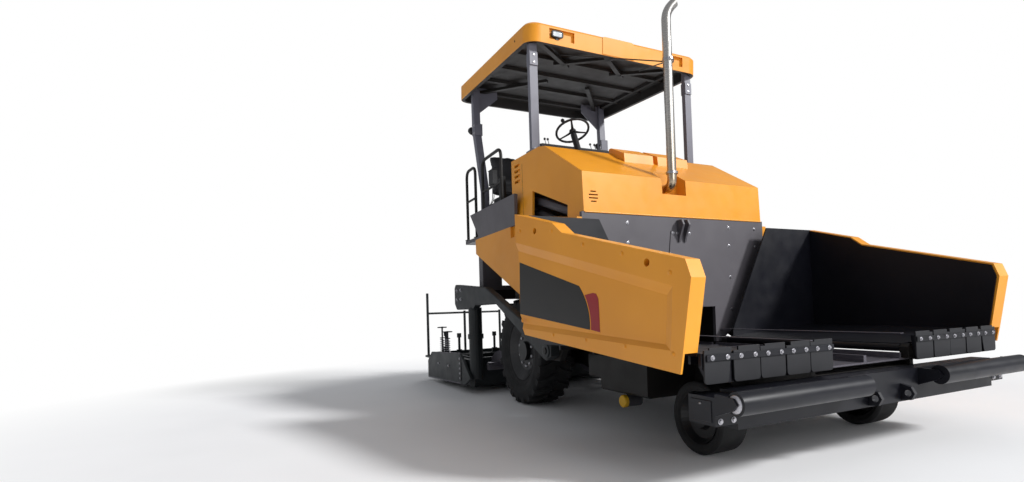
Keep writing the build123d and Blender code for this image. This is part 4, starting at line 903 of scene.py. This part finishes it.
lampLooks = {   # metres, in the roof's frame; body and glass are rings of (x, half width, half height)
    "y": (-0.800, 0.680), "z": 0.108, "squareness": 0.42,
    "body": ((-0.028, 0.050, 0.028), (-0.020, 0.060, 0.034), (0.004, 0.068, 0.037), (0.014, 0.0695, 0.0358),
             (0.0158, 0.066, 0.034), (0.0158, 0.056, 0.026), (0.010, 0.054, 0.025)),
    "glass": ((0.009, 0.0535, 0.0245), (0.0125, 0.0535, 0.0245), (0.0145, 0.050, 0.022),
              (0.0150, 0.030, 0.012)),
    "foot": (-0.018, 0.004, 0.019, 0.006), "footZ": (0.0495, 0.078),
}


def makeRoofLamps():
    # a round-cornered body and bezel with the fluted lens inside it, on a foot; each ring is
    # half width * sign(cos a) * |cos a| ^ p across and half height * sign(sin a) * |sin a| ^ p up
    f = lampLooks
    a = np.linspace(0, 2 * pi, 56, endpoint=False)
    across, up = (np.sign(w) * np.abs(w) ** f["squareness"] for w in (np.cos(a), np.sin(a)))

    def shell(rings, y):
        layers = [roofPlace(np.column_stack([np.full(len(a), x), y + across * wide, f["z"] + up * tall]))
                  for x, wide, tall in rings]
        return grid(np.stack(layers), roundV=True, caps=True)

    housings = [shell(f["body"], y) for y in f["y"]]
    foot = roundRectangle(*f["foot"])
    housings += [roofSlab(foot + np.array([0, y]), f["footZ"]) for y in f["y"]]
    piece("roof_lamp_housings", housings, "mouldedAbs", "chassis", "black_plastic", stands=("roof_lamps",))
    piece("roof_lamp_lenses", [shell(f["glass"], y) for y in f["y"]], "lens", "chassis", "lamp_lens")


makeRoofLining()
makeRoofBraces()
makeRoofFront()
makeRoofLamps()
print("roof done")

seatLooks = {   # metres; the cap is how far the pressure may move a point, draw the share lost at the sides
    "pressure": 4.0, "cap": 0.024, "frames": 20, "voxel": 0.006, "draw": 0.10,
}
padShapes = {   # outline (x, z) from the rear axle, the y it runs from and to, and the box it has to keep to
    "seat_pad": (((-1.010, 2.372), (-0.600, 2.372), (-0.585, 2.395), (-0.590, 2.440), (-0.640, 2.452),
                  (-0.85, 2.446), (-1.000, 2.452), (-1.018, 2.430)),
                 (-0.975, -0.585), (-1.030, -0.995, 2.3705), (-0.572, -0.567, 2.480)),
    "seat_back": (((-1.035, 2.500), (-0.970, 2.495), (-0.972, 2.62), (-0.995, 2.75), (-1.030, 2.96),
                   (-1.055, 3.045), (-1.090, 3.055), (-1.112, 3.03), (-1.085, 2.80)),
                  (-0.970, -0.590), (-1.125, -0.988, 2.484), (-0.952, -0.572, 3.068)),
}


def quilt(outline, y0, y1, steps=10):
    # a side outline carried across the seat, drawn in towards both sides: scale = 1 - draw * |s| ^ 3
    outline = np.asarray(outline, float)
    s = np.linspace(-1, 1, steps)
    centre = outline.mean(0)
    scale = 1 - seatLooks["draw"] * np.abs(s) ** 3
    rows = centre + scale[:, None, None] * (outline - centre)
    y = np.broadcast_to(((y0 + y1) / 2 + s * (y1 - y0) / 2)[:, None], rows.shape[:2])
    return grid(np.stack([rows[..., 0] + axleX, y, rows[..., 1]], -1), roundV=True, caps=True)


def pointsOf(mesh):
    values = np.zeros(len(mesh.vertices) * 3)
    mesh.vertices.foreach_get("co", values)
    return values.reshape(-1, 3)


def puffUp(made):
    # cloth with air pressure inside swells the pad; no point may go farther than the cap
    f = seatLooks
    remesh = made.modifiers.new("evenSkin", "REMESH")
    remesh.mode, remesh.voxel_size = "VOXEL", f["voxel"]
    bpy.context.view_layer.objects.active = made
    bpy.ops.object.modifier_apply(modifier=remesh.name)
    start = pointsOf(made.data)
    cloth = made.modifiers.new("airPressure", "CLOTH")
    cloth.settings.use_pressure = True
    cloth.settings.uniform_pressure_force = f["pressure"]
    cloth.settings.effector_weights.gravity = 0
    cloth.point_cache.frame_start, cloth.point_cache.frame_end = 1, f["frames"]
    for step in range(1, f["frames"] + 1):
        bpy.context.scene.frame_set(step)
    bpy.ops.object.modifier_apply(modifier=cloth.name)
    bpy.context.scene.frame_set(1)
    move = pointsOf(made.data) - start
    far = np.linalg.norm(move, axis=1, keepdims=True)
    move *= np.minimum(1.0, f["cap"] / np.maximum(far, 1e-9))
    made.data.vertices.foreach_set("co", (start + move).ravel())
    made.data.update()


def makePad(name, outline, across, low, high):
    # simulates the right-hand pad once, keeps it inside its given box and mirrors it for the left
    made = piece(name + "_right", [quilt(outline, *across)], "vinyl", "chassis", "seat_vinyl", angle=60)
    puffUp(made)
    low, high, points = at(*low), at(*high), pointsOf(made.data)
    lowest, highest = points.min(0), points.max(0)
    wanted = np.minimum(1.0, (high - low) / (highest - lowest))
    points = (low + high) / 2 + (points - (lowest + highest) / 2) * wanted
    made.data.vertices.foreach_set("co", points.ravel())
    made.data.polygons.foreach_set("use_smooth", np.ones(len(made.data.polygons), dtype=bool))
    made.data.update()
    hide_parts("seat_cushions")
    mirrored = made.copy()
    mirrored.data = made.data.copy()
    mirrored.name = name + "_left"
    bpy.context.collection.objects.link(mirrored)
    mirrored.data.vertices.foreach_set("co", (points * np.array([1.0, -1.0, 1.0])).ravel())
    mirrored.data.flip_normals()
    mirrored.data.update()
    for pad in (made, mirrored):
        smooth = pad.modifiers.new("roundness", "SUBSURF")
        smooth.levels = smooth.render_levels = 1


for padName, shape in padShapes.items():
    makePad(padName, *shape)
print("seats done")


def coil(centre, radius, wire, bottom, top, turns, sides=8):
    # a spring about a vertical line: centre + radius * (cos a, sin a), rising evenly with a
    a = np.linspace(0, turns * 2 * pi, int(turns * 20))
    rise = np.interp(a, [0, a[-1]], [bottom, top])
    path = np.stack([centre[0] + radius * np.cos(a), centre[1] + radius * np.sin(a), rise], 1)
    return tube(path, wire, sides, across=(0, 0, 1))


frontLooks = {   # metres from the rear axle; bolts as size, x, y and z
    "cap": ((0.048, -0.002), (0.048, 0.004), (0.042, 0.007), (0.0005, 0.007)), "capZ": 0.52, "capTop": 0.0068,
    "capBolt": (0.022, 0.009),
    "boxBolts": ((0.022, 0.011), (1, 0, 0), 3.4398, (-1.33, -1.425), (0.41, 0.515)),
    "nipple": ((0.006, -0.001), (0.006, 0.006), (0.004, 0.010), (0.005, 0.014), (0.0003, 0.018)),
    "nippleX": 3.335, "nippleZ": 0.50, "coverX": (3.255, 3.415), "coverZ": (0.405, 0.52), "coverThick": 0.006,
    "coverEdge": 0.002,
}


def makeRollerEnds():
    # end caps with a centre bolt on the push rollers; bolts, a grease nipple and a cover on the end boxes
    f = frontLooks
    capPlace = middle("push_roller_right")
    capPlace[1:] = face("push_roller_right", "y", 0), f["capZ"]
    cap = turned(f["cap"], capPlace, (0, -1, 0), 36)
    centreBolt = hexHead(*f["capBolt"], (0, -1, 0), capPlace - np.array([0, f["capTop"], 0]))
    pairOf("roller_end_cap", [cap, centreBolt], "zinc", "push_roller", "worn_steel")
    boxY = face("front_beam", "y", 0) + sunk
    nipple = turned(f["nipple"], at(f["nippleX"], boxY, f["nippleZ"]), (0, -1, 0), 12)
    piece("end_box_bolts", withTwins(bolts(*f["boxBolts"]), nipple), "zinc", "chassis", "worn_steel")
    (x0, x1), (z0, z1) = f["coverX"], f["coverZ"]
    cover = sidePlate([(x0, z0), (x1, z0), (x1, z1), (x0, z1)], boxY - f["coverThick"], boxY, f["coverEdge"])
    piece("end_box_covers", withTwins(cover), "blueBlackEnamel", "chassis", "dark_paint")


makeRollerEnds()

gateLooks = {   # metres from the rear axle; side outlines are (x, z), plates are as thick as from y0 to y1
    "strip": ((-1.345, 0.150), (-1.275, 0.150), (-1.275, 0.462), (-1.335, 0.480)),
    "stripY": (-1.3725, -1.3650), "stripEdge": 0.0015,
    "bolts": (((0.022, 0.011), (0, -1, 0), -1.308, -1.3722, np.linspace(0.18, 0.43, 5)),
              ((0.024, 0.012), (0, -1, 0), (-1.85, -2.35), -1.3648, 0.30)),
    "top": ((-2.730, 0.4395), (-1.330, 0.4970), (-1.330, 0.5010), (-2.730, 0.4435)),
    "topY": (-1.3640, -1.3360),
    "runner": ((-2.90, 0.050), (-1.30, 0.108), (-1.30, 0.122), (-2.90, 0.064)),
    "runnerY": (-1.3705, -1.3650), "runnerEdge": 0.0012,
}


def makeGateFittings():
    # on each side gate: a dark strip of five bolts, two more bolts, a bright worn top edge and runner
    f = gateLooks
    strip = sidePlate(f["strip"], *f["stripY"], f["stripEdge"])
    worn = [sidePlate(f["top"], *f["topY"], 0.0), sidePlate(f["runner"], *f["runnerY"], f["runnerEdge"])]
    pairOf("gate_strip", [strip], "mouldedAbs", "screed_extension", "black_plastic")
    pairOf("gate_bolts", [bolts(*row) for row in f["bolts"]], "zinc", "screed_extension", "worn_steel")
    pairOf("gate_worn_edges", worn, "wornSteel", "screed_extension", "worn_steel")


makeGateFittings()

spindleLooks = {   # metres; each spindle's x from the rear axle and its height; posts are (radius, height)
    "spindles": ((-2.22, 0.74), (-2.50, 0.80)), "y": -1.26,
    "spring": (0.030, 0.0055, 0.452, 0.640, 6),
    "post": ((0.040, 0.436), (0.040, 0.448), (0.013, 0.450), (0.013, 0.646), (0.036, 0.648), (0.036, 0.660),
             (0.012, 0.662)),
    "head": ((0.012, 0.0), (0.018, 0.002), (0.018, 0.020), (0.0005, 0.022)),
    "wheel": 0.062, "grip": 0.008, "wheelRise": 0.010, "spoke": 0.056, "spokeRadius": 0.005, "spokeTurn": 0.3,
}


def makeSpindles():
    # height spindles with springs and handwheels behind each gate; a handwheel is a ring,
    # (wheel + grip * cos b) * (cos a, sin a) with grip * sin b upwards, on three spokes
    f = spindleLooks
    springs, rods, wheels = [], [], []
    b = np.linspace(0, 2 * pi, 10, endpoint=False)[:, None]
    outwards = ringOf((1, 0, 0), (0, 1, 0), 40)[:, None]
    for x, tall in f["spindles"]:
        foot, hub = at(x, f["y"], 0), at(x, f["y"], tall + f["wheelRise"])
        springs.append(coil(foot, *f["spring"]))
        stations = [*f["post"], *[(r, tall + rise) for r, rise in f["head"]]]
        rods.append(turned(stations, foot, (0, 0, 1), 20))
        rim = (f["wheel"] + f["grip"] * np.cos(b)) * outwards + f["grip"] * np.sin(b) * np.array([0, 0, 1.0])
        wheels.append(grid(rim + hub, roundU=True, roundV=True))
        tips = hub + f["spoke"] * ringOf((1, 0, 0), (0, 1, 0), 3, f["spokeTurn"])
        wheels += [tube([hub, tip], f["spokeRadius"], 8, across=(0, 0, 1)) for tip in tips]
    pairOf("spindle_springs", springs, "zinc", "screed_extension", "worn_steel")
    pairOf("spindle_rods", rods, "castIron", "screed_extension", "cast_iron")
    pairOf("spindle_handwheels", wheels, "mouldedAbs", "screed_extension", "black_plastic")


makeSpindles()

armLooks = {   # metres from the rear axle: the tow arm's pin washer, its rear head's bolts and a clamp
    "pin": ((0.070, -0.001), (0.070, 0.008), (0.062, 0.011), (0.034, 0.011), (0.034, -0.001)),
    "pinAt": (1.090, -1.300, 0.655),
    "bolts": ((0.030, 0.015), (0, -1, 0), (-1.58, -1.42), -1.2998, (1.20, 1.32)),
    "clamp": ((0.0855, -0.03), (0.098, -0.03), (0.098, 0.03), (0.0855, 0.03)),
    "clampAt": (-1.04, -1.24, 0.72),
}


def makeArmFittings():
    # the pin washer and head bolts of each tow arm, and the clamp round the upright column behind it
    f = armLooks
    pin = turned(f["pin"], at(*f["pinAt"]), (0, -1, 0), 40, closed=True)
    clamp = turned(f["clamp"], at(*f["clampAt"]), (0, 0, 1), 40, closed=True)
    piece("tow_arm_bolts", withTwins(bolts(*f["bolts"])), "zinc", "screed", "worn_steel")
    piece("tow_arm_collars", withTwins(pin, clamp), "screedEnamel", "screed", "screed_steel")


makeArmFittings()

underLooks = {   # metres from the rear axle
    "filter": ((0.0005, -0.080), (0.044, -0.080), (0.048, -0.074), (0.048, 0.060)),
    "filterAt": (1.90, -0.93, 0.272),
    "bracket": (1.875, 1.925, -0.96, -0.90, 0.300, 0.334, 0.003),
    "cap": ((0.0505, 0.0), (0.0505, 0.028), (0.044, 0.036), (0.016, 0.040), (0.0005, 0.040)),
    "capAt": (1.90, -0.990, 0.272), "hoseRadius": 0.013, "hoseBend": 0.09,
    "hoses": (((1.235, -0.88, 1.02), (1.245, -0.91, 0.86), (1.260, -0.90, 0.62), (1.372, -0.88, 0.52)),
              ((1.275, -0.88, 1.02), (1.285, -0.91, 0.83), (1.300, -0.90, 0.62), (1.372, -0.86, 0.55)),
              ((1.315, -0.88, 1.02), (1.325, -0.91, 0.80), (1.340, -0.90, 0.62), (1.372, -0.84, 0.58))),
}


def makeUnderFrame():
    # a lying filter with a yellow cap under each side tank, and a bundle of three hoses behind it
    f = underLooks
    body = turned(f["filter"], at(*f["filterAt"]), (0, -1, 0), 32)
    cap = turned(f["cap"], at(*f["capAt"]), (0, -1, 0), 32)
    hoses = [bentTube(line, f["hoseBend"], 10, f["hoseRadius"], 12) for line in f["hoses"]]
    piece("under_filters", withTwins(body, brick(*f["bracket"])), "castIron", "chassis", "cast_iron")
    piece("under_filter_caps", withTwins(cap), "yellowPlasticCap", "chassis", "black_plastic")
    piece("side_hoses", withTwins(*hoses), "rubberSheet", "chassis", "black_plastic")


makeUnderFrame()

deckLooks = {   # metres from the rear axle
    "box": (-0.90, -0.76, -1.060, -0.998, 2.600, 2.790, 0.008),
    "lid": (-0.905, -0.755, -1.065, -0.993, 2.786, 2.798, 0.003),
    "leads": (((-0.80, -1.03, 2.605), (-0.81, -1.03, 2.42), (-0.89, -1.045, 2.36), (-0.93, -1.075, 2.300)),
              ((-0.85, -1.03, 2.605), (-0.86, -1.03, 2.42), (-0.94, -1.045, 2.36), (-0.98, -1.075, 2.300))),
    "leadBend": 0.05, "leadRadius": 0.005,
    "panel": ((-0.245, 2.931), (-0.072, 2.957), (-0.072, 2.963), (-0.245, 2.937)), "panelY": (-0.70, 0.24),
    "panelEdge": 0.001, "switchX": (-0.215, -0.190), "switchZ": (2.938, 2.952), "switchWide": 0.016,
    "switchEdge": 0.003, "switchRow": (-0.66, 0.18, 0.045), "switchGap": (-0.34, -0.13),
    "dial": ((0.032, -0.002), (0.032, 0.010), (0.028, 0.013), (0.026, 0.009), (0.0005, 0.009)),
    "dialX": -0.135, "dialZ": 2.9525, "dialY": (-0.53, -0.45, -0.06), "dialFacing": (-0.148, 0, 0.989),
    "leverX": -0.088, "leverZ": 2.948, "leverY": (-0.64, -0.60, -0.02, 0.04, 0.12),
    "leverTo": (-0.030, 0.0, 0.072),
    "leverRadius": 0.005, "knobFacing": (-0.38, 0, 0.92),
    "knob": ((0.004, -0.002), (0.012, 0.004), (0.015, 0.014), (0.012, 0.024), (0.0005, 0.028)),
    "foldProud": 0.0008, "foldWide": 0.0270, "foldTall": 0.0040, "foldEdge": 0.001,
}


def makeDeckFittings():
    # a control box with two leads on each rear rail; switches, dials and levers on the console;
    # folded edges on the side boxes
    f = deckLooks
    leads = [bentTube(line, f["leadBend"], 8, f["leadRadius"], 8) for line in f["leads"]]
    case = withTwins(brick(*f["box"]), brick(*f["lid"]))
    piece("rail_boxes", case, "mouldedAbs", "chassis", "black_plastic")
    piece("rail_leads", withTwins(*leads), "rubberSheet", "chassis", "black_plastic")
    gapLow, gapHigh = f["switchGap"]
    switches = [brick(*f["switchX"], y, y + f["switchWide"], *f["switchZ"], f["switchEdge"])
                for y in np.arange(*f["switchRow"]) if not gapLow < y < gapHigh]
    panel = sidePlate(f["panel"], *f["panelY"], f["panelEdge"])
    piece("console_panel", [panel, *switches], "mouldedAbs", "chassis", "black_plastic")
    dials = [turned(f["dial"], at(f["dialX"], y, f["dialZ"]), f["dialFacing"], 32) for y in f["dialY"]]
    piece("console_dials", dials, "castIron", "chassis", "cast_iron")
    feet = [at(f["leverX"], y, f["leverZ"]) for y in f["leverY"]]
    reach = np.array(f["leverTo"])
    levers = [tube([foot, foot + reach / 2, foot + reach], f["leverRadius"], 10) for foot in feet]
    knobs = [turned(f["knob"], foot + reach, f["knobFacing"], 16) for foot in feet]
    piece("console_levers", levers, "zinc", "chassis", "worn_steel")
    piece("console_knobs", knobs, "mouldedAbs", "chassis", "black_plastic")
    side = "side_box_right"
    y0, z0 = face(side, "y", 0) - f["foldProud"], face(side, "z", 1) - f["foldProud"]
    edge = brick(face(side, "x", 0), face(side, "x", 1), y0, y0 + f["foldWide"] + f["foldProud"], z0,
                 z0 + f["foldTall"] + f["foldProud"], f["foldEdge"])
    piece("side_box_edges", withTwins(edge), "panelGreyEnamel", "chassis", "grey_paint")


makeDeckFittings()

rearLightLooks = {   # metres from the rear axle
    "place": (-1.590, -1.02, 3.520), "facing": (1, 0, 0.25),
    "cup": ((0.020, 0.035), (0.040, 0.028), (0.052, 0.008), (0.055, -0.012), (0.055, -0.020), (0.050, -0.020),
            (0.050, -0.014), (0.0005, -0.013)),
    "glass": ((0.049, -0.0135), (0.047, -0.018), (0.025, -0.0205), (0.0005, -0.021)),
    "arm": ((-1.575, -1.02, 3.575), (-1.575, -1.02, 3.60), (-1.500, -1.01, 3.60)), "armBend": 0.018,
    "lead": ((-1.556, -1.02, 3.53), (-1.53, -1.05, 3.47), (-1.50, -1.05, 3.42)), "leadBend": 0.03,
    "armRadius": 0.009, "leadRadius": 0.004,
}


def makeRearLights():
    # a round work light on a bent arm behind each rear post, with its lead
    f = rearLightLooks
    cup, glass = (turned(f[k], at(*f["place"]), f["facing"], 32) for k in ("cup", "glass"))
    arm = bentTube(f["arm"], f["armBend"], 6, f["armRadius"], 12)
    lead = bentTube(f["lead"], f["leadBend"], 8, f["leadRadius"], 8)
    piece("rear_light_cups", withTwins(cup, arm, lead), "mouldedAbs", "chassis", "black_plastic")
    piece("rear_light_lenses", withTwins(glass), "lens", "chassis", "lamp_lens")


makeRearLights()


def makeHoodEdges():
    # a rolled lip along the hood's front lower edge, the seam across its top, and the latches on it
    f = hoodLooks
    lip = tube([at(f["lipX"], y, f["lipZ"]) for y in (-f["lipHalf"], 0.0, f["lipHalf"])], f["lipRadius"], 12,
               across=(0, 0, 1))
    piece("hood_lip", [lip], "amberEnamel", "chassis", "yellow_paint")
    half, z = f["topSeamHalf"], f["topZ"]
    seam = brick(*f["topSeamX"], -half, half, *[z + rise for rise in f["topSeamZ"]], 0.0)
    piece("hood_top_seam", [seam], "seamShadow", "chassis", "dark_paint")
    (x0, x1), (low, high), h = f["pullX"], [z + rise for rise in f["pullZ"]], f["latchHalf"]
    latches = []
    for y in (-f["latchY"], f["latchY"]):
        latches.append(brick(*f["latchX"], y - h, y + h, z, z + f["latchTall"], f["latchEdge"]))
        pull = [(x0, y, low), (x0, y, high), (x1, y, high), (x1, y, low)]
        latches.append(bentTube(pull, f["pullBend"], 5, f["pullRadius"], 8))
    piece("hood_latches", latches, "castIron", "chassis", "cast_iron")


makeHoodEdges()
print("fittings done")

floorLooks = {   # half width and fade in metres, grain in mm, and two shades
    "half": 40, "cells": 8, "fade": (4.2, 7.5), "grain": 700.0, "shades": ("#F3F3F4", "#F8F8F9"),
}
stage = {   # the sun gives even light on the whole floor; its angle in degrees softens the shadow's edge
    "skyColour": "#EEF1F6", "skyLight": 0.34, "sunFrom": (8.5, 7.0, 7.2), "sunPower": 3.1, "sunAngle": 9.0,
}
lights = {   # place from the rear axle, target, size, power in watts
    "front": ((10.0, 0.5, 4.0), (2.0, 0.0, 1.6), 4.0, 190.0),
    "rightSide": ((0.5, -9.0, 3.5), (0.0, 0.0, 1.6), 6.0, 20.0),
    "rear": ((-9.0, 4.0, 6.0), (-1.0, 0.0, 2.0), 5.0, 160.0),
}
cameraFacts = {   # where the camera stands, from the rear axle, and how it looks
    "place": (5.71056, -3.54919, 1.04409), "yaw": 152.35, "pitch": 1.666, "roll": -1.858,
    "lens": 19.663, "shiftX": -0.0476, "shiftY": 0.0493,
}
white = {"Color": (1, 1, 1, 1), "Strength": 1.0}


def makeFloorMaterial():
    # pale matt floor under the machine; far away it gives the camera plain white, so the horizon is lost
    f = floorLooks
    values = {"Roughness": 0.8, "Specular IOR Level": 0.1}
    material, tree, shader, where = newMaterial("paleStudioFloor", values)
    shadeFrom(tree, shader, noise(tree, where, f["grain"]), f["shades"])
    far = addNode(tree, "ShaderNodeVectorMath", links={"Vector": where}, operation="LENGTH").outputs["Value"]
    seen = addNode(tree, "ShaderNodeLightPath").outputs["Is Camera Ray"]
    fade = ramp(tree, far, *f["fade"])
    share = addNode(tree, "ShaderNodeMath", links={0: fade, 1: seen}, operation="MULTIPLY")
    glow = addNode(tree, "ShaderNodeEmission", white)
    both = addNode(tree, "ShaderNodeMixShader",
                   links={0: share.outputs[0], 1: shader.outputs["BSDF"], 2: glow.outputs[0]})
    output = next(n for n in tree.nodes if n.type == "OUTPUT_MATERIAL")
    tree.links.new(both.outputs[0], output.inputs["Surface"])
    return material


def makeStage():
    # a flat floor, 80 m square, at the height of the tyres' feet
    f = floorLooks
    u = np.linspace(-f["half"], f["half"], f["cells"] + 1)
    x, y = np.meshgrid(u, u, indexing="ij")
    points, corners, sizes = grid(np.stack([x, y, np.zeros_like(x)], -1))
    mesh = bpy.data.meshes.new("studioFloor")
    mesh.from_pydata(points.tolist(), [], corners.reshape(-1, 4).tolist())
    mesh.materials.append(makeFloorMaterial())
    floor = bpy.data.objects.new("studioFloor", mesh)
    bpy.context.collection.objects.link(floor)


def makeWorld():
    # white to the camera and through glass, and a softer light on everything else
    world = bpy.data.worlds.new("studioWorld")
    bpy.context.scene.world = world
    world.use_nodes = True
    tree = world.node_tree
    tree.nodes.clear()
    path = addNode(tree, "ShaderNodeLightPath").outputs
    sight = addNode(tree, "ShaderNodeMath", links={0: path["Is Camera Ray"], 1: path["Is Transmission Ray"]},
                    operation="MAXIMUM")
    sky = {"Color": hexToLinear(stage["skyColour"]), "Strength": stage["skyLight"]}
    lightSide = addNode(tree, "ShaderNodeBackground", sky)
    viewSide = addNode(tree, "ShaderNodeBackground", white)
    mixed = addNode(tree, "ShaderNodeMixShader",
                    links={"Fac": sight.outputs[0], 1: lightSide.outputs[0], 2: viewSide.outputs[0]})
    addNode(tree, "ShaderNodeOutputWorld", links={"Surface": mixed.outputs[0]})


def lampAt(data, place, aim):
    # links a light whose own -Z looks along aim
    lamp = bpy.data.objects.new(data.name, data)
    bpy.context.collection.objects.link(lamp)
    lamp.location = place
    lamp.rotation_euler = Vector(aim).to_track_quat("-Z", "Y").to_euler()


def makeLights():
    # the sun as the main light, and square soft lights aimed at their targets
    sun = bpy.data.lights.new("sun", "SUN")
    sun.energy, sun.angle = stage["sunPower"], radians(stage["sunAngle"])
    lampAt(sun, (0, 0, 0), -np.array(stage["sunFrom"]))
    for name, (place, target, size, power) in lights.items():
        data = bpy.data.lights.new(name, "AREA")
        data.size, data.energy = size, power
        lampAt(data, at(*place), at(*target) - at(*place))


def makeCamera():
    # yaw is counted from +X, pitch up from level and roll about the line of sight
    data = bpy.data.cameras.new("camera")
    data.sensor_width = 36.0
    data.lens, data.shift_x, data.shift_y = (cameraFacts[k] for k in ("lens", "shiftX", "shiftY"))
    camera = bpy.data.objects.new("camera", data)
    bpy.context.collection.objects.link(camera)
    yaw, pitch, roll = (radians(cameraFacts[k]) for k in ("yaw", "pitch", "roll"))
    forward = Vector((cos(yaw) * cos(pitch), sin(yaw) * cos(pitch), sin(pitch)))
    level = forward.to_track_quat("-Z", "Y").to_matrix().to_4x4()
    place = Matrix.Translation(at(*cameraFacts["place"]))
    camera.matrix_world = place @ level @ Matrix.Rotation(roll, 4, "Z")
    bpy.context.scene.camera = camera


makeStage()
makeWorld()
makeLights()
makeCamera()
bpy.context.scene.view_settings.view_transform = "Standard"
print("stage, light and camera done")
